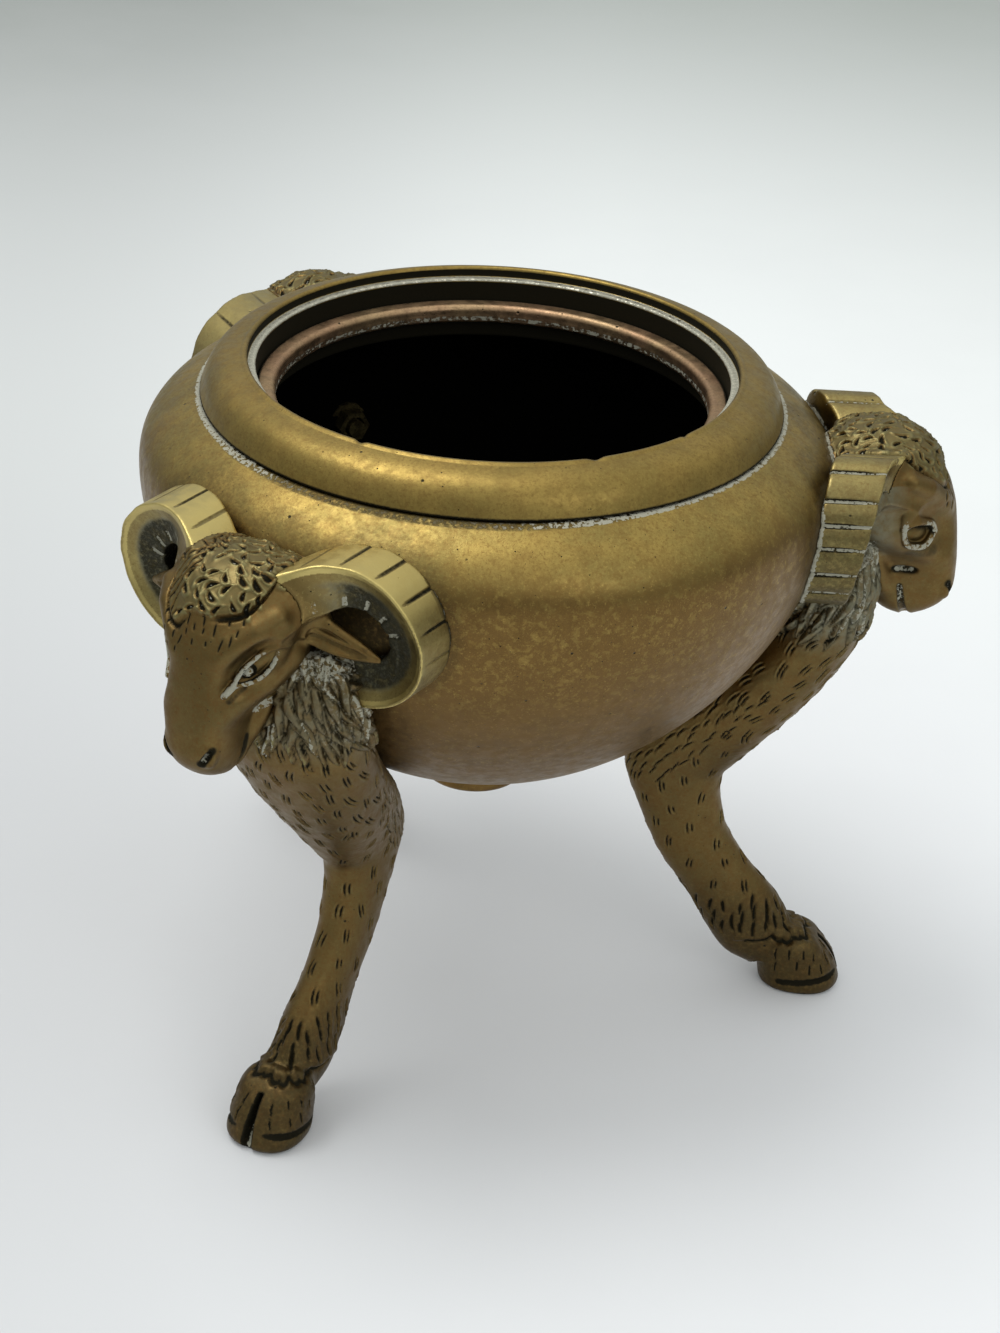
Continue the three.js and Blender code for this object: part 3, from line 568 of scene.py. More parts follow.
def model_ear(clay):
    """A leaf from the cheek, under the horn, hollow towards the front with a raised rim."""
    low, high = np.array([52.0, 6.0, 86.5]), np.array([64.0, 21.5, 99.5])
    spans, (x, y, z) = clay.window(low, high)
    share = (y - EAR_ROOT[1]) / (EAR_TIP[1] - EAR_ROOT[1])
    bounded = np.clip(share, 0, 1)
    full = np.sin(np.pi * blend(0.28, 0.97, bounded))
    cx, cz = blend(EAR_ROOT[0], EAR_TIP[0], share), blend(EAR_ROOT[2], EAR_TIP[2], share)
    depth, height = 1.15 * full + 0.12, 2.5 * full + 0.1
    leaf = section(x - cx, z - cz, depth, height, 2.0)
    ends = (np.abs(y - (EAR_ROOT[1] + EAR_TIP[1]) / 2) - (EAR_TIP[1] - EAR_ROOT[1]) / 2)
    leaf = smooth_max(leaf, ends, 0.6)
    hollow = section(x - cx - 1.0, z - cz + 0.15, depth * 0.95, np.maximum(height - 0.85, 0.05), 2.0)
    leaf = smooth_max(leaf, -np.maximum(hollow, ends + 0.8), 0.3)
    fold = section(x - cx - 0.2, z - cz - 0.35, depth * 0.55, np.maximum(height * 0.16, 0.04), 2.0)
    leaf = smooth_min(leaf, np.maximum(fold, ends + 1.2), 0.4)
    block = clay.field[spans]
    block[...] = smooth_min(block, leaf.astype(np.float32), 1.0)


def coil_place(y, z, look):
    """Share of the way round a horn's coil and the offset from the middle of its band."""
    dy, dz = (y - look["across"]) * look["squeeze"], z - look["coil"]
    turned_by = np.mod(COIL_ROOT_TURN - np.degrees(np.arctan2(dz, dy)) + 40, 360) - 40
    share = turned_by / COIL_SWEEP
    inside = np.clip(share, 0, 1)
    radius = blend(COIL_ROOT_RADIUS, COIL_TIP_RADIUS, inside ** 1.6)
    return share, radius, np.hypot(dy, dz) - radius


def coil_band(share):
    """Width of the horn's band at a share of its coil."""
    return blend(COIL_ROOT_BAND, COIL_TIP_BAND, np.clip(share, 0, 1) ** 0.8)


def notches(share, radius, look):
    """Arc from the nearest notch, and that notch's strength."""
    turned_by = share * COIL_SWEEP
    arc, strength = np.full_like(turned_by, 99.0), np.zeros_like(turned_by)
    for turn, strong in look["notches"]:
        away = np.abs(turned_by - turn) * np.radians(1) * radius
        strength = np.where(away < arc, strong, strength)
        arc = np.minimum(arc, away)
    return arc, strength


def slit_width(behind, look):
    """Half width of the slits across a horn's rim, by how far behind the rim's front edge."""
    return look["slit"] * blend(0.6, 1.15, ease(behind, 0.0, 4.5))


def horn_ridge(share, radius, look):
    """How far out the bowl's wall lies behind a horn, and the edge between the horn's rim and its front."""
    inside = np.clip(share, 0, 1)
    angle = np.radians(COIL_ROOT_TURN - inside * COIL_SWEEP)
    mid_y = look["across"] + radius * np.cos(angle) / look["squeeze"]
    mid_z = look["coil"] + radius * np.sin(angle)
    wall = np.sqrt(np.maximum(bowl_radius_at(mid_z) ** 2 - mid_y ** 2, 0))
    depth = blend(COIL_ROOT_DEPTH, COIL_TIP_DEPTH, inside ** 0.8)
    lift = COIL_ROOT_LIFT * (1 - inside) ** 4 - COIL_BEDDING
    return wall + lift, wall + lift + depth + look["stand"] * ease(inside, 0.25, 0.7)


def model_horn(clay, look):
    """The horn's coil: slits across its rim, and a hollow front that falls towards the hole."""
    x, y, z = clay.everywhere()
    share, radius, offset = coil_place(y, z, look)
    inside = np.clip(share, 0, 1)
    band = coil_band(share)
    back, ridge = horn_ridge(share, radius, look)
    back = back - 1.0
    inward = np.clip((band / 2 - offset) / band, 0, 1)
    hollow = inward ** 1.2 * 2.6 * (1 - 0.35 * inside) + 2.2 * inward * (1 - inward)
    front = ridge - hollow * ease(share, -0.02, 0.22)
    arc, strength = notches(share, radius + band / 2, look)
    width = slit_width(ridge - x, look)
    slit = strength * np.exp(-(arc / width) ** 4) * blend(look["slit_taper"], 1.0, ease(ridge - x, 0.2, 3.4))
    slit = slit * ease(ridge - x, -0.1, 0.8)
    swell = look["swell"] * ease(arc, 0.3, 2.2)
    outer = band / 2 - 0.6 * look["swell"] + swell - look["slit_depth"] * slit
    arc, strength = notches(share, radius - band / 2, look)
    inner_slit = strength * np.exp(-(arc / 0.3) ** 4) * ease(inward, 0.55, 0.72)
    front = front - 0.35 * inner_slit
    tip = np.sqrt(np.clip(1 - (np.clip(share - 0.86, 0, None) / 0.16) ** 2, 0.0004, 1))
    side = np.maximum(offset - outer * tip, -band / 2 * tip - offset)
    side = np.maximum(side, np.maximum(COIL_START - share, share - 1.02) * COIL_SWEEP / 57.3 * radius)
    shape = smooth_max(smooth_max(x - front, side, 0.5), back - x, 0.6)
    clay.field[...] = shape


def mirrored(field):
    return np.concatenate([field[:, :0:-1], field], axis=1)


def head_frame(name):
    """The turn of a head and where its own frame's axis lies."""
    fitting = HEAD_FITTING[name]
    pivot = float(bowl_radius_at(HEAD_STUD_HEIGHT))
    leg = math.radians(LEG_TURNS[name])
    turn = leg + math.radians(fitting["turn"])
    out, side = np.array([math.cos(leg), math.sin(leg), 0]), np.array([-math.sin(leg), math.cos(leg), 0])
    head_out = np.array([math.cos(turn), math.sin(turn), 0])
    origin = out * pivot + side * fitting["shift"] - head_out * pivot
    origin[2] = fitting["lift"]
    return turn, origin


def out_of(turn, origin, places):
    """From a turned frame to the bowl's."""
    c, s = math.cos(turn), math.sin(turn)
    x, y, z = places[:, 0], places[:, 1], places[:, 2]
    return np.stack([x * c - y * s, x * s + y * c, z], 1) + origin


def inside_bowl(x, y, z, turn, origin, gap):
    """How deep places in a turned frame lie inside the bowl's outline grown by a gap."""
    c, s = math.cos(turn), math.sin(turn)
    wx = x * c - y * s + origin[0]
    wy = x * s + y * c + origin[1]
    wz = z + origin[2]
    radius = bowl_radius_at(wz, gap).astype(np.float32)
    rise = np.abs(wz - WIDEST_HEIGHT)
    steep = np.where(wz < WIDEST_HEIGHT, rise / LOWER_DEPTH, rise / SHOULDER_RISE)
    return (radius - np.sqrt(wx * wx + wy * wy)) / np.sqrt(1 + 1.5 * np.clip(steep, 0, 1) ** 3)


DOWN = np.array([0.0, 0.0, -1.0])
SCATTER_TRIES = 6000


def random_turn(rng, normal, spread=np.pi, lean=DOWN):
    """A direction in the surface, turned at random from a leaning one."""
    ahead = lean - normal * (lean @ normal)
    if np.linalg.norm(ahead) < 1e-3:
        ahead = np.array([1.0, 0, 0])
    ahead = ahead / np.linalg.norm(ahead)
    angle = rng.uniform(-spread, spread)
    return ahead * math.cos(angle) + np.cross(normal, ahead) * math.sin(angle)


class Surface:
    """Points of a mesh in their own frame, with normals, that fine marks are pressed into."""

    def __init__(self, places, faces):
        self.places, self.faces = places.astype(np.float32), faces
        self.normals = self.measure()
        # One of these measures lightens raised parts: wear and painted highlight
        self.shift, self.recess, self.residue, self.crest, self.root, self.dust = (
            np.zeros(len(places), np.float32) for _ in range(6)
        )

    def measure(self):
        a, b, c, d = (self.places[self.faces[:, i]] for i in range(4))
        normal = np.cross(c - a, d - b)
        total = np.zeros_like(self.places)
        for i in range(4):
            for k in range(3):
                total[:, k] += np.bincount(self.faces[:, i], normal[:, k], len(self.places))
        return total / np.maximum(np.linalg.norm(total, axis=1, keepdims=True), 1e-9)

    def scatter(self, mask, spacing, seed):
        """Points of the mesh in a mask, no two nearer than a spacing."""
        rng = np.random.default_rng(seed)
        chosen = np.flatnonzero(mask)
        rng.shuffle(chosen)
        kept, cells = [], {}
        for index in chosen[:SCATTER_TRIES]:
            place = self.places[index]
            key = tuple((place // spacing).astype(int))
            near = [
                other
                for dx in (-1, 0, 1) for dy in (-1, 0, 1) for dz in (-1, 0, 1)
                for other in cells.get((key[0] + dx, key[1] + dy, key[2] + dz), [])
            ]
            if all(((self.places[other] - place) ** 2).sum() > spacing ** 2 for other in near):
                kept.append(index)
                cells.setdefault(key, []).append(index)
        return kept

    def sown(self, mask, spacing, seed, rng, spread, lean=DOWN):
        """Scattered places with their normals, each with a direction turned at random."""
        for index in self.scatter(mask, spacing, seed):
            normal = self.normals[index]
            yield self.places[index], normal, random_turn(rng, normal, spread, lean)

    def around(self, place, normal, flow, reach):
        """Points near a place that face its way, with their offsets along a flow and across it."""
        near = np.flatnonzero((np.abs(self.places - place) < reach).all(1))
        step = self.places[near] - place
        flow = flow - normal * (flow @ normal)
        flow = flow / max(np.linalg.norm(flow), 1e-6)
        across = np.cross(normal, flow)
        facing = self.normals[near] @ normal > 0.1
        near, step = near[facing], step[facing]
        return near, step @ flow, step @ across

    def stroke(self, place, normal, flow, length, width, depth, bend=0.0, rim=0.0, residue=0.0):
        """A tapering, slightly curved cut, with a raised edge."""
        near, u, v = self.around(place, normal, flow, length + 3 * width)
        v = v - bend * u * u
        ends = np.clip(1 - (u / length) ** 2, 0, 1) ** 0.7
        groove = np.exp(-(v / width) ** 2) * ends
        beyond = np.clip(1 - (u / (length + width)) ** 2, 0, 1)
        edge = np.exp(-((np.abs(v) - 1.9 * width) / width) ** 2) * beyond
        self.shift[near] += rim * edge - depth * groove
        self.recess[near] = np.maximum(self.recess[near], groove)
        self.residue[near] = np.maximum(self.residue[near], residue * groove)
        # The raised edge is lightened: wear and a painted highlight
        self.crest[near] = np.maximum(self.crest[near], 4.0 * rim * edge)

    def curl(self, place, normal, flow, length, width, depth, rim, residue):
        """A tight curl of wool: a pit like a drop inside a raised rim."""
        near, u, v = self.around(place, normal, flow, length * 2.2)
        v = v - 0.25 * u * u
        slim = width * np.clip(0.75 + 0.35 * u / length, 0.3, 1.2)
        away = np.sqrt((u / length) ** 2 + (v / slim) ** 2)
        pit = 1 - ease(away, 0.6, 1.0)
        edge = np.exp(-((away - 1.4) / 0.35) ** 2)
        self.shift[near] += rim * edge - depth * pit
        self.recess[near] = np.maximum(self.recess[near], pit)
        self.residue[near] = np.maximum(self.residue[near], residue * (1 - ease(away, 0.2, 0.5)))
        # The curl's raised rim is lightened: wear and a painted highlight
        self.crest[near] = np.maximum(self.crest[near], 0.8 * edge)

    def lock(self, place, normal, flow, length, width, height, bend, residue):
        """A pointed lock of fleece, lying over the locks drawn before it."""
        near, u, v = self.around(place, normal, flow, 1.4 * length)
        v = v - bend * length * (0.25 * (u / length) ** 2 + 0.16 * np.sin(2.8 * u / length))
        share = (u + length) / (2 * length)
        bounded = np.clip(share, 0, 1)
        half = width * np.sin(np.pi * bounded ** 0.8) ** 0.8 + 0.02
        side = np.abs(v) / half
        inside = (side < 1) & (share > 0) & (share < 1)
        dome = np.clip(1 - side ** 2, 0, 1) ** 0.75 * (0.2 + 0.8 * np.sin(np.pi * bounded ** 1.3) ** 0.6)
        strand = 0.13 * np.cos(v * 2 * np.pi / 0.62) * (1 - side)
        covered = near[inside]
        self.shift[covered] = (height * dome + strand)[inside]
        self.recess[covered] = (0.5 * ease(side, 0.72, 1.0) + 0.22 * (strand < -0.05))[inside]
        self.residue[covered] = (residue * (1 - ease(side, 0.25, 0.6)))[inside]
        # The lock's dome is lightened: wear and a painted highlight
        self.crest[covered] = (0.85 * dome)[inside]
        edge = np.exp(-((np.abs(v) - half) / 0.25) ** 2) * (share > 0.1) * (share < 1.05) * ~inside
        self.shift[near] -= 0.2 * edge
        self.recess[near] = np.maximum(self.recess[near], 0.55 * edge)

    def stain(self, amount, recess=0.0, residue=0.0):
        """Darkening for dirt and painted shade, or pale residue, by an amount from 0 to 1 at each point."""
        self.recess = np.maximum(self.recess, recess * amount)
        self.residue = np.maximum(self.residue, residue * amount)

    def near_rope(self, points, reach):
        """1 on a line through points, falling to 0 at a reach from it, for both sides of the head."""
        x, y, z = self.places.T
        _, _, distance = rope(points, 0.0)
        return 1 - ease(distance(x, np.abs(y), z), 0.35 * reach, reach)

    def stain_rope(self, points, reach, recess, residue=0.0):
        self.stain(self.near_rope(points, reach), recess, residue)

    def settle(self):
        self.places = self.places + self.normals * self.shift[:, None]


def crown_border(y):
    """Height of the wool's lower edge: higher and squarer on one side of the head."""
    away = np.minimum(np.abs(y), 9.4)
    square = 98.2 + 0.025 * away ** 2 + 6.0 * (away / 8.2) ** 12
    round_side = 95.6 + 6.6 * (away / 8.6) ** 4.5
    return blend(square, round_side, ease(-y, 1.0, 4.0))


def dress_head(surface, eye, look, seed):
    """Wool on the crown, lightened for wear and painted highlight, hairs on the face, and dirt, painted shade
    and residue in the hollows.
    """
    rng = np.random.default_rng(seed)
    x, y, z = surface.places.T
    over = z - crown_border(y)
    up = surface.normals[:, 2] > -0.2
    crown = (over > 0) & (np.abs(y) < 8.8) & (x > 52) & up
    wool = ease(over, -0.15, 0.7) * (np.abs(y) < 9.2) * (x > 52) * up
    surface.shift += 0.45 * wool
    # The wool is lightened all over: wear and a painted highlight
    surface.crest = np.maximum(surface.crest, 0.42 * wool)
    groove = np.exp(-((over + 0.4) / 0.4) ** 2) * ease(np.abs(y), 1.2, 3.6) * (np.abs(y) < 9.0) * (x > 60)
    surface.shift -= 0.6 * groove
    # Dirt and painted shade in the groove under the wool's edge
    surface.stain(groove, 0.72)
    flat = crown & (y < -4.2) & look["flat_hair"]
    for place, normal, flow in surface.sown(flat & (over > 0.2), 1.15, seed + 3, rng, 0.25):
        surface.stroke(place, normal, flow, rng.uniform(0.9, 1.6), 0.17, 0.28, rng.uniform(0.0, 0.2), 0.12)
    for place, normal, flow in surface.sown(crown & ~flat & (over > 0.5), 1.72, seed + 1, rng, 1.3):
        size = rng.uniform(0.8, 1.15)
        surface.curl(place, normal, flow, size, size * 0.48, 0.36, 0.17, rng.uniform(0.3, 0.8))
    fringe = (over > -3.8) & (over < -0.6) & (np.abs(y) < 6.5) & (x > 68)
    for place, normal, flow in surface.sown(fringe, 1.5, seed + 2, rng, 0.25):
        surface.stroke(place, normal, flow, rng.uniform(0.5, 1.2), 0.17, 0.22, rng.uniform(-0.1, 0.1))
    half = surface.places.copy()
    half[:, 1] = np.abs(y)
    stain_eye(surface, eye, half)
    stain_muzzle(surface, look)
    stain_ear(surface, look, half)
    surface.settle()


def stain_eye(surface, eye, half):
    """Painted shade in the slit, dirt round the pupil and in the creases, a darker streak under the level
    eye, and residue on the lids and at the corners.
    """
    length, height, out = eye.offsets(half)
    share = (length - eye.middle) / eye.half
    facing = (out > -2.2) & (np.abs(share) < 1.6)
    arch = np.clip(1 - np.abs(share) ** eye.square, 0, 1)
    above, below = height - eye.upper * arch, height - eye.lower * arch
    opening = facing * (above < -0.35) * (below > 0.35) * (np.abs(share) < 0.97)
    # Painted shade inside the slit: darkest under the upper lid, and along the lower lid
    shade = np.maximum(1 - ease(-above, 0.4, 0.65 * eye.square), 0.8 * (1 - ease(below, 0.3, 0.8)))
    surface.stain(opening * shade, 0.8)
    for lid in (eye.lid(eye.upper, 0.6), eye.lid(eye.lower, 0.55)):
        surface.stain_rope(lid, eye.lid_radius + 0.16, 0.0, 0.9)
    near, far = eye.middle - eye.half, eye.middle + eye.half
    right, rise = eye.corner
    surface.stain_rope([eye.place(far, 0, 0.6), eye.place(far + right, rise, 0.7)], 0.9, 0.0, 1.0)
    if eye.bead:
        away = np.hypot(length, height)
        surface.stain(facing * ease(away, 0.75, 1.0) * (1 - ease(away, 1.2, 1.5)), 0.95)
        surface.stain(facing * (away < 0.8), 0.0, eye.bead)
        surface.stain_rope([eye.place(far + 1.4, -1.5, 0.1)] * 2, 1.0, 0.7)
        surface.stain_rope([eye.place(near, 0, 0.6), eye.place(near - 1.9, -0.1, 0.6)], 0.85, 0.0, 1.0)
        surface.stain_rope([eye.place(near + 0.8, -1.6, 0.2), eye.place(near - 2.0, -1.3, 0.3)], 0.8, 0.7)
    else:
        surface.stain_rope([eye.place(near + 3.0, -4.2, 0), eye.place(near - 0.8, -3.4, 0)], 1.8, 0.42)


def stain_muzzle(surface, look):
    """Dirt and residue in the nostril, the mouth's slit and the dimple, or in streaks along the jaw."""
    slot = np.array(NOSTRIL_AXES[2])
    surface.stain_rope([NOSTRIL - 1.4 * slot, NOSTRIL + 1.4 * slot], 1.1, 0.8)
    surface.stain_rope([NOSTRIL - 0.7 * slot, NOSTRIL + 0.5 * slot], 0.7, 0.0, 0.7)
    surface.stain_rope(MOUTH, 0.9, 0.8, 0.7 * look["filled"])
    if look["dimple"]:
        pit = DIMPLE - [0, 0.5, 0]
        surface.stain_rope([pit - [1.4, 0, 0], pit + [1.4, 0, 0]], 1.2, 0.7)
        surface.stain_rope([pit - [1.1, 0, 0], pit + [1.1, 0, 0]], 0.8, 0.0, 0.8)
    else:
        for streak in JAW_STREAKS:
            surface.stain_rope(streak, 1.1, 0.3, 0.8)


def stain_ear(surface, look, half):
    """Dirt and painted shade behind and in the ear, dust and painted shade under the horn, and residue where
    the jaw meets the throat.
    """
    x, _, z = surface.places.T
    across = (half[:, 1] - EAR_ROOT[1]) / (EAR_TIP[1] - EAR_ROOT[1])
    middle_x, middle_z = blend(EAR_ROOT[0], EAR_TIP[0], across), blend(EAR_ROOT[2], EAR_TIP[2], across)
    behind = (across > 0.15) & (x < middle_x - 0.4)
    hollow = (across > 0.12) & (across < 0.85) & (np.abs(z - middle_z) < 1.1) & (x < middle_x + 0.6)
    # Dirt and painted shade behind and in the ear
    surface.stain(behind * 1.0, 0.55)
    surface.stain(hollow * 1.0, 0.35)
    # Under the horn: dust, and painted shade by how shaded the head is
    under_horn = ease(half[:, 1], 5.5, 8.0) * (z > 84) * (z < 98) * (1 - ease(x, 61.5, 66.5))
    surface.dust = 0.75 * under_horn * look["shaded"]
    surface.stain(under_horn, 0.22 * look["shaded"])
    jaw = (x < 63.5) & (z < 88) & (half[:, 1] < 12)
    surface.stain(jaw * (1 - ease(x, 60.5, 63.5)), 0.5, 0.6)


def dress_horn(surface, look):
    """Residue in the rim's slits, dirt on the inner part, a darker wall round the hole, and a rim lightened
    for wear and painted highlight.
    """
    x, y, z = surface.places.T
    share, radius, offset = coil_place(np.abs(y), z, look)
    band = coil_band(share)
    inward = np.clip((band / 2 - offset) / band, 0, 1.2)
    _, ridge = horn_ridge(share, radius, look)
    arc, strength = notches(share, radius + band / 2, look)
    on_rim = strength * (inward < 0.14) * blend(look["slit_taper"], 1.0, ease(ridge - x, 0.3, 3.4))
    slim = slit_width(ridge - x, look)
    surface.stain(on_rim * (1 - ease(arc, slim - 0.05, slim + 0.18)), 0.72)
    surface.stain(on_rim * (1 - ease(arc, 0.2, 0.36)), 0.0, 0.95 * look["filled"])
    surface.stain(ease(inward, 0.28, 0.46) * ease(share, 0.09, 0.22), 0.55, 0.4)
    surface.dust = ease(inward, 0.28, 0.46) * ease(share, 0.08, 0.22)
    surface.root = ease(inward, 0.03, 0.18) * (1 - ease(share, 0.06, 0.26))
    surface.stain(ease(share, 0.1, 0.5) * (inward < 0.14), 0.42 * look["filled"])
    arc, strength = notches(share, radius - band / 2, look)
    stub = strength * (1 - ease(arc, 0.16, 0.34)) * ease(inward, 0.62, 0.75)
    surface.stain(stub * (inward < 0.95) * (share < 0.46), 0.0, 1.1)
    facing = surface.normals[:, 0]
    surface.stain(ease(inward, 0.97, 1.0) * (facing < 0.5) * ease(share, 0.1, 0.2), 0.75)
    # A painted highlight along the rim's rounded edge, chosen by which way the surface faces, and wear and
    # painted highlight along the rim
    edge = (inward < 0.16) * ease(facing, 0.25, 0.6) * (1 - ease(facing, 0.85, 0.98))
    rubbed_and_lit = look["rim"] * (1 - ease(inward, 0.1, 0.2)) * (1 - 0.75 * ease(share, 0.28, 0.46))
    surface.crest = np.maximum(0.9 * edge, rubbed_and_lit)


def model_heads():
    """Each ram's head and its horns: one clay half, mirrored, then cut to the bowl."""
    wholes = {}
    for number, name in enumerate(LEG_TURNS):
        look = HEAD_LOOKS[name]
        eye = Eye(look["eye"])
        head = Clay(HEAD_LOW, HEAD_HIGH, HEAD_STEP)
        model_head(head, eye, look)
        model_ear(head)
        horn = Clay(HEAD_LOW, HEAD_HIGH, HEAD_STEP)
        model_horn(horn, look)
        joined = smooth_min(head.field, horn.field, HORN_REACH)
        divide = (head.field - horn.field) / 2 - HORN_RETREAT
        head_field = mirrored(np.maximum(joined, divide + 0.01))
        horn_field = mirrored(np.maximum(joined, 0.01 - divide))
        low = np.array([HEAD_LOW[0], -HEAD_STEP * (head.field.shape[1] - 1), HEAD_LOW[2]])
        whole = Clay(low, HEAD_HIGH, HEAD_STEP)
        whole.field = head_field
        wholes[name] = whole
        x, y, z = whole.everywhere()
        middle = head.field.shape[1] - 1
        turn, origin = head_frame(name)
        deep = inside_bowl(x, y, z, turn, origin, 0.02)
        surface = Surface(*skin(smooth_max(head_field, deep, 0.2), low, HEAD_STEP))
        dress_head(surface, eye, look, HEAD_SEED + number)
        finish_casting(surface, f"ram_head_{name}", turn, origin, look["seam"])
        cut = np.maximum(horn_field, deep)
        for side, span in (("left", slice(middle, None)), ("right", slice(0, middle + 1))):
            part = cut[:, span].copy()
            part[:, [0, -1]] = FAR
            start = low + np.array([0, (span.start or 0) * HEAD_STEP, 0])
            surface = Surface(*skin(part, start, HEAD_STEP))
            dress_horn(surface, look)
            finish_casting(surface, f"horn_{side}_{name}", turn, origin, look["seam"])
    return wholes


def finish_casting(surface, name, turn, origin, seam):
    """Makes the piece, with residue where it meets the bowl."""
    places = out_of(turn, origin, surface.places)
    off = np.hypot(places[:, 0], places[:, 1]) - bowl_radius_at(places[:, 2])
    contact = 1 - ease(off, 0.1, 1.2)
    # Hollows keep their recess; elsewhere raised parts get a negative one, which the material turns into
    # lightening for wear and painted highlight
    recess = np.where(surface.recess > 0.1, surface.recess, -surface.crest)
    recess = np.where(contact > 0.05, np.maximum(recess, 0.7 * contact), recess)
    residue = np.maximum(surface.residue, seam * contact)
    values = {"recess": recess, "residue": residue, "root": surface.root, "dust": surface.dust}
    return make_piece(f"{name}_casting", places, surface.faces, [name], values)


# The leg, in its own frame: x outwards, y sideways, z up
LEG_LOW, LEG_HIGH = (20.0, -15.0, 0.0), (72.0, 15.0, 92.0)
LEG_STATIONS = [
    # reach, height, tilt of the section, half depth, half width
    (57.2, 89.0, 0, 4.8, 10.1),
    (56.6, 81.4, 10, 6.8, 13.3),
    (54.4, 72.0, 24, 8.0, 13.0),
    (48.6, 62.3, 38, 8.0, 11.4),
    (41.8, 54.0, 44, 8.2, 9.2),
    (36.6, 47.9, 30, 8.6, 6.6),
    (33.2, 42.0, 6, 8.6, 5.1),
    (34.5, 36.0, -8, 7.0, 4.4),
    (37.6, 27.2, -26, 6.1, 3.8),
    (42.6, 20.0, -34, 5.8, 3.5),
    (47.2, 13.5, -36, 6.7, 4.2),
    (49.9, 9.3, -38, 6.6, 4.2),
    (53.0, 6.2, -40, 4.7, 3.4),
]
HOOF_BANDS = [
    # height, middle, half length, half width
    (0.0, 57.9, 6.5, 5.9),
    (1.2, 58.2, 7.1, 6.3),
    (4.6, 57.4, 6.8, 6.1),
    (7.6, 56.3, 6.0, 5.6),
    (9.6, 55.4, 4.7, 4.7),
    (11.0, 54.8, 2.9, 3.2),
]
CORONET_TOP = 11.2
CLEFT_TOP = 8.6
SOLE_GROOVES = [
    [
        (57.9 + 7.3 * math.cos(turn), side * (0.7 + 5.6 * math.sin(turn)), 4.1 - 0.9 * turn)
        for turn in np.linspace(0.05, 2.1, 14)
    ]
    for side in (1, -1)
]


def model_leg(clay):
    _, y, _ = clay.everywhere()
    ground_x, ground_z = clay.axes[0][:, None], clay.axes[2][None, :]
    stations = np.array(LEG_STATIONS, float)
    steps = np.hypot(np.diff(stations[:, 0]), np.diff(stations[:, 1]))
    marks = np.concatenate([[0], np.cumsum(steps)])
    fine = np.linspace(0, marks[-1], 520)
    reach, height, tilt, depth, width = (faired(marks, stations[:, i], fine, 1.6) for i in range(5))
    lean = np.radians(tilt)
    best = np.full((len(clay.axes[0]), len(clay.axes[2])), 1e9, np.float32)
    along_depth, half_depth, half_width, beyond = (np.zeros_like(best) for _ in range(4))
    for i in range(len(fine)):
        dx, dz = ground_x - reach[i], ground_z - height[i]
        v = dx * math.cos(lean[i]) - dz * math.sin(lean[i])
        off = dx * math.sin(lean[i]) + dz * math.cos(lean[i])
        score = np.abs(off) + 0.8 * np.maximum(np.abs(v) - depth[i], 0)
        better = score < best
        best = np.where(better, score, best)
        along_depth = np.where(better, v, along_depth)
        half_depth = np.where(better, depth[i], half_depth)
        half_width = np.where(better, width[i], half_width)
        beyond = np.where(better, np.abs(off), beyond)
    limb = section(along_depth[:, None, :], y, half_depth[:, None, :], half_width[:, None, :], 2.15)
    limb = np.maximum(limb, beyond[:, None, :] - 0.4)
    clay.field[...] = np.minimum(clay.field, limb)
    model_hoof(clay)


def model_hoof(clay):
    spans, (x, y, z) = clay.window((46, -9, -1), (68, 9, 13))
    heights = [band[0] for band in HOOF_BANDS]
    middle, length, width = faired_bands(HOOF_BANDS, heights, z.ravel(), 0.5)
    lean = np.clip((x - middle) / length, -1, 1)
    hoof = section(x - middle, y, length, width * (1 + 0.08 * lean), 2.3)
    hoof = smooth_max(hoof, np.maximum(-z, z - CORONET_TOP), 0.9)
    block = clay.field[spans]
    block[...] = smooth_min(block, hoof, 0.8)
    # Claws: a cleft from the toe, a groove above each sole, and the coronet's bulge over them
    for side in (1, -1):
        clay.add(ball((56.8, side * 2.9, 7.6), (4.2, 2.7, 2.4)), 1.0)
    clay.carve(((56, -2, -1), (69, 2, 9.5), lambda x, y, z: cleft(x, y, z)[0]), 0.5)
    for groove in SOLE_GROOVES:
        clay.carve(rope(groove, 0.42), 0.4)


def cleft(x, y, z):
    """Distance to the wedge between the claws, and half its width."""
    front = 65.6 - 0.62 * np.maximum(z, 0)
    gape = 0.16 + 0.66 * ease(x - front, -2.6, 0.4) * (1.1 - np.maximum(z, 0) / 10)
    floor = front - blend(1.1, 2.6, ease(z, 4.4, 5.4))
    return np.maximum(np.maximum(np.abs(y) - gape, floor - x), z - CLEFT_TOP), gape


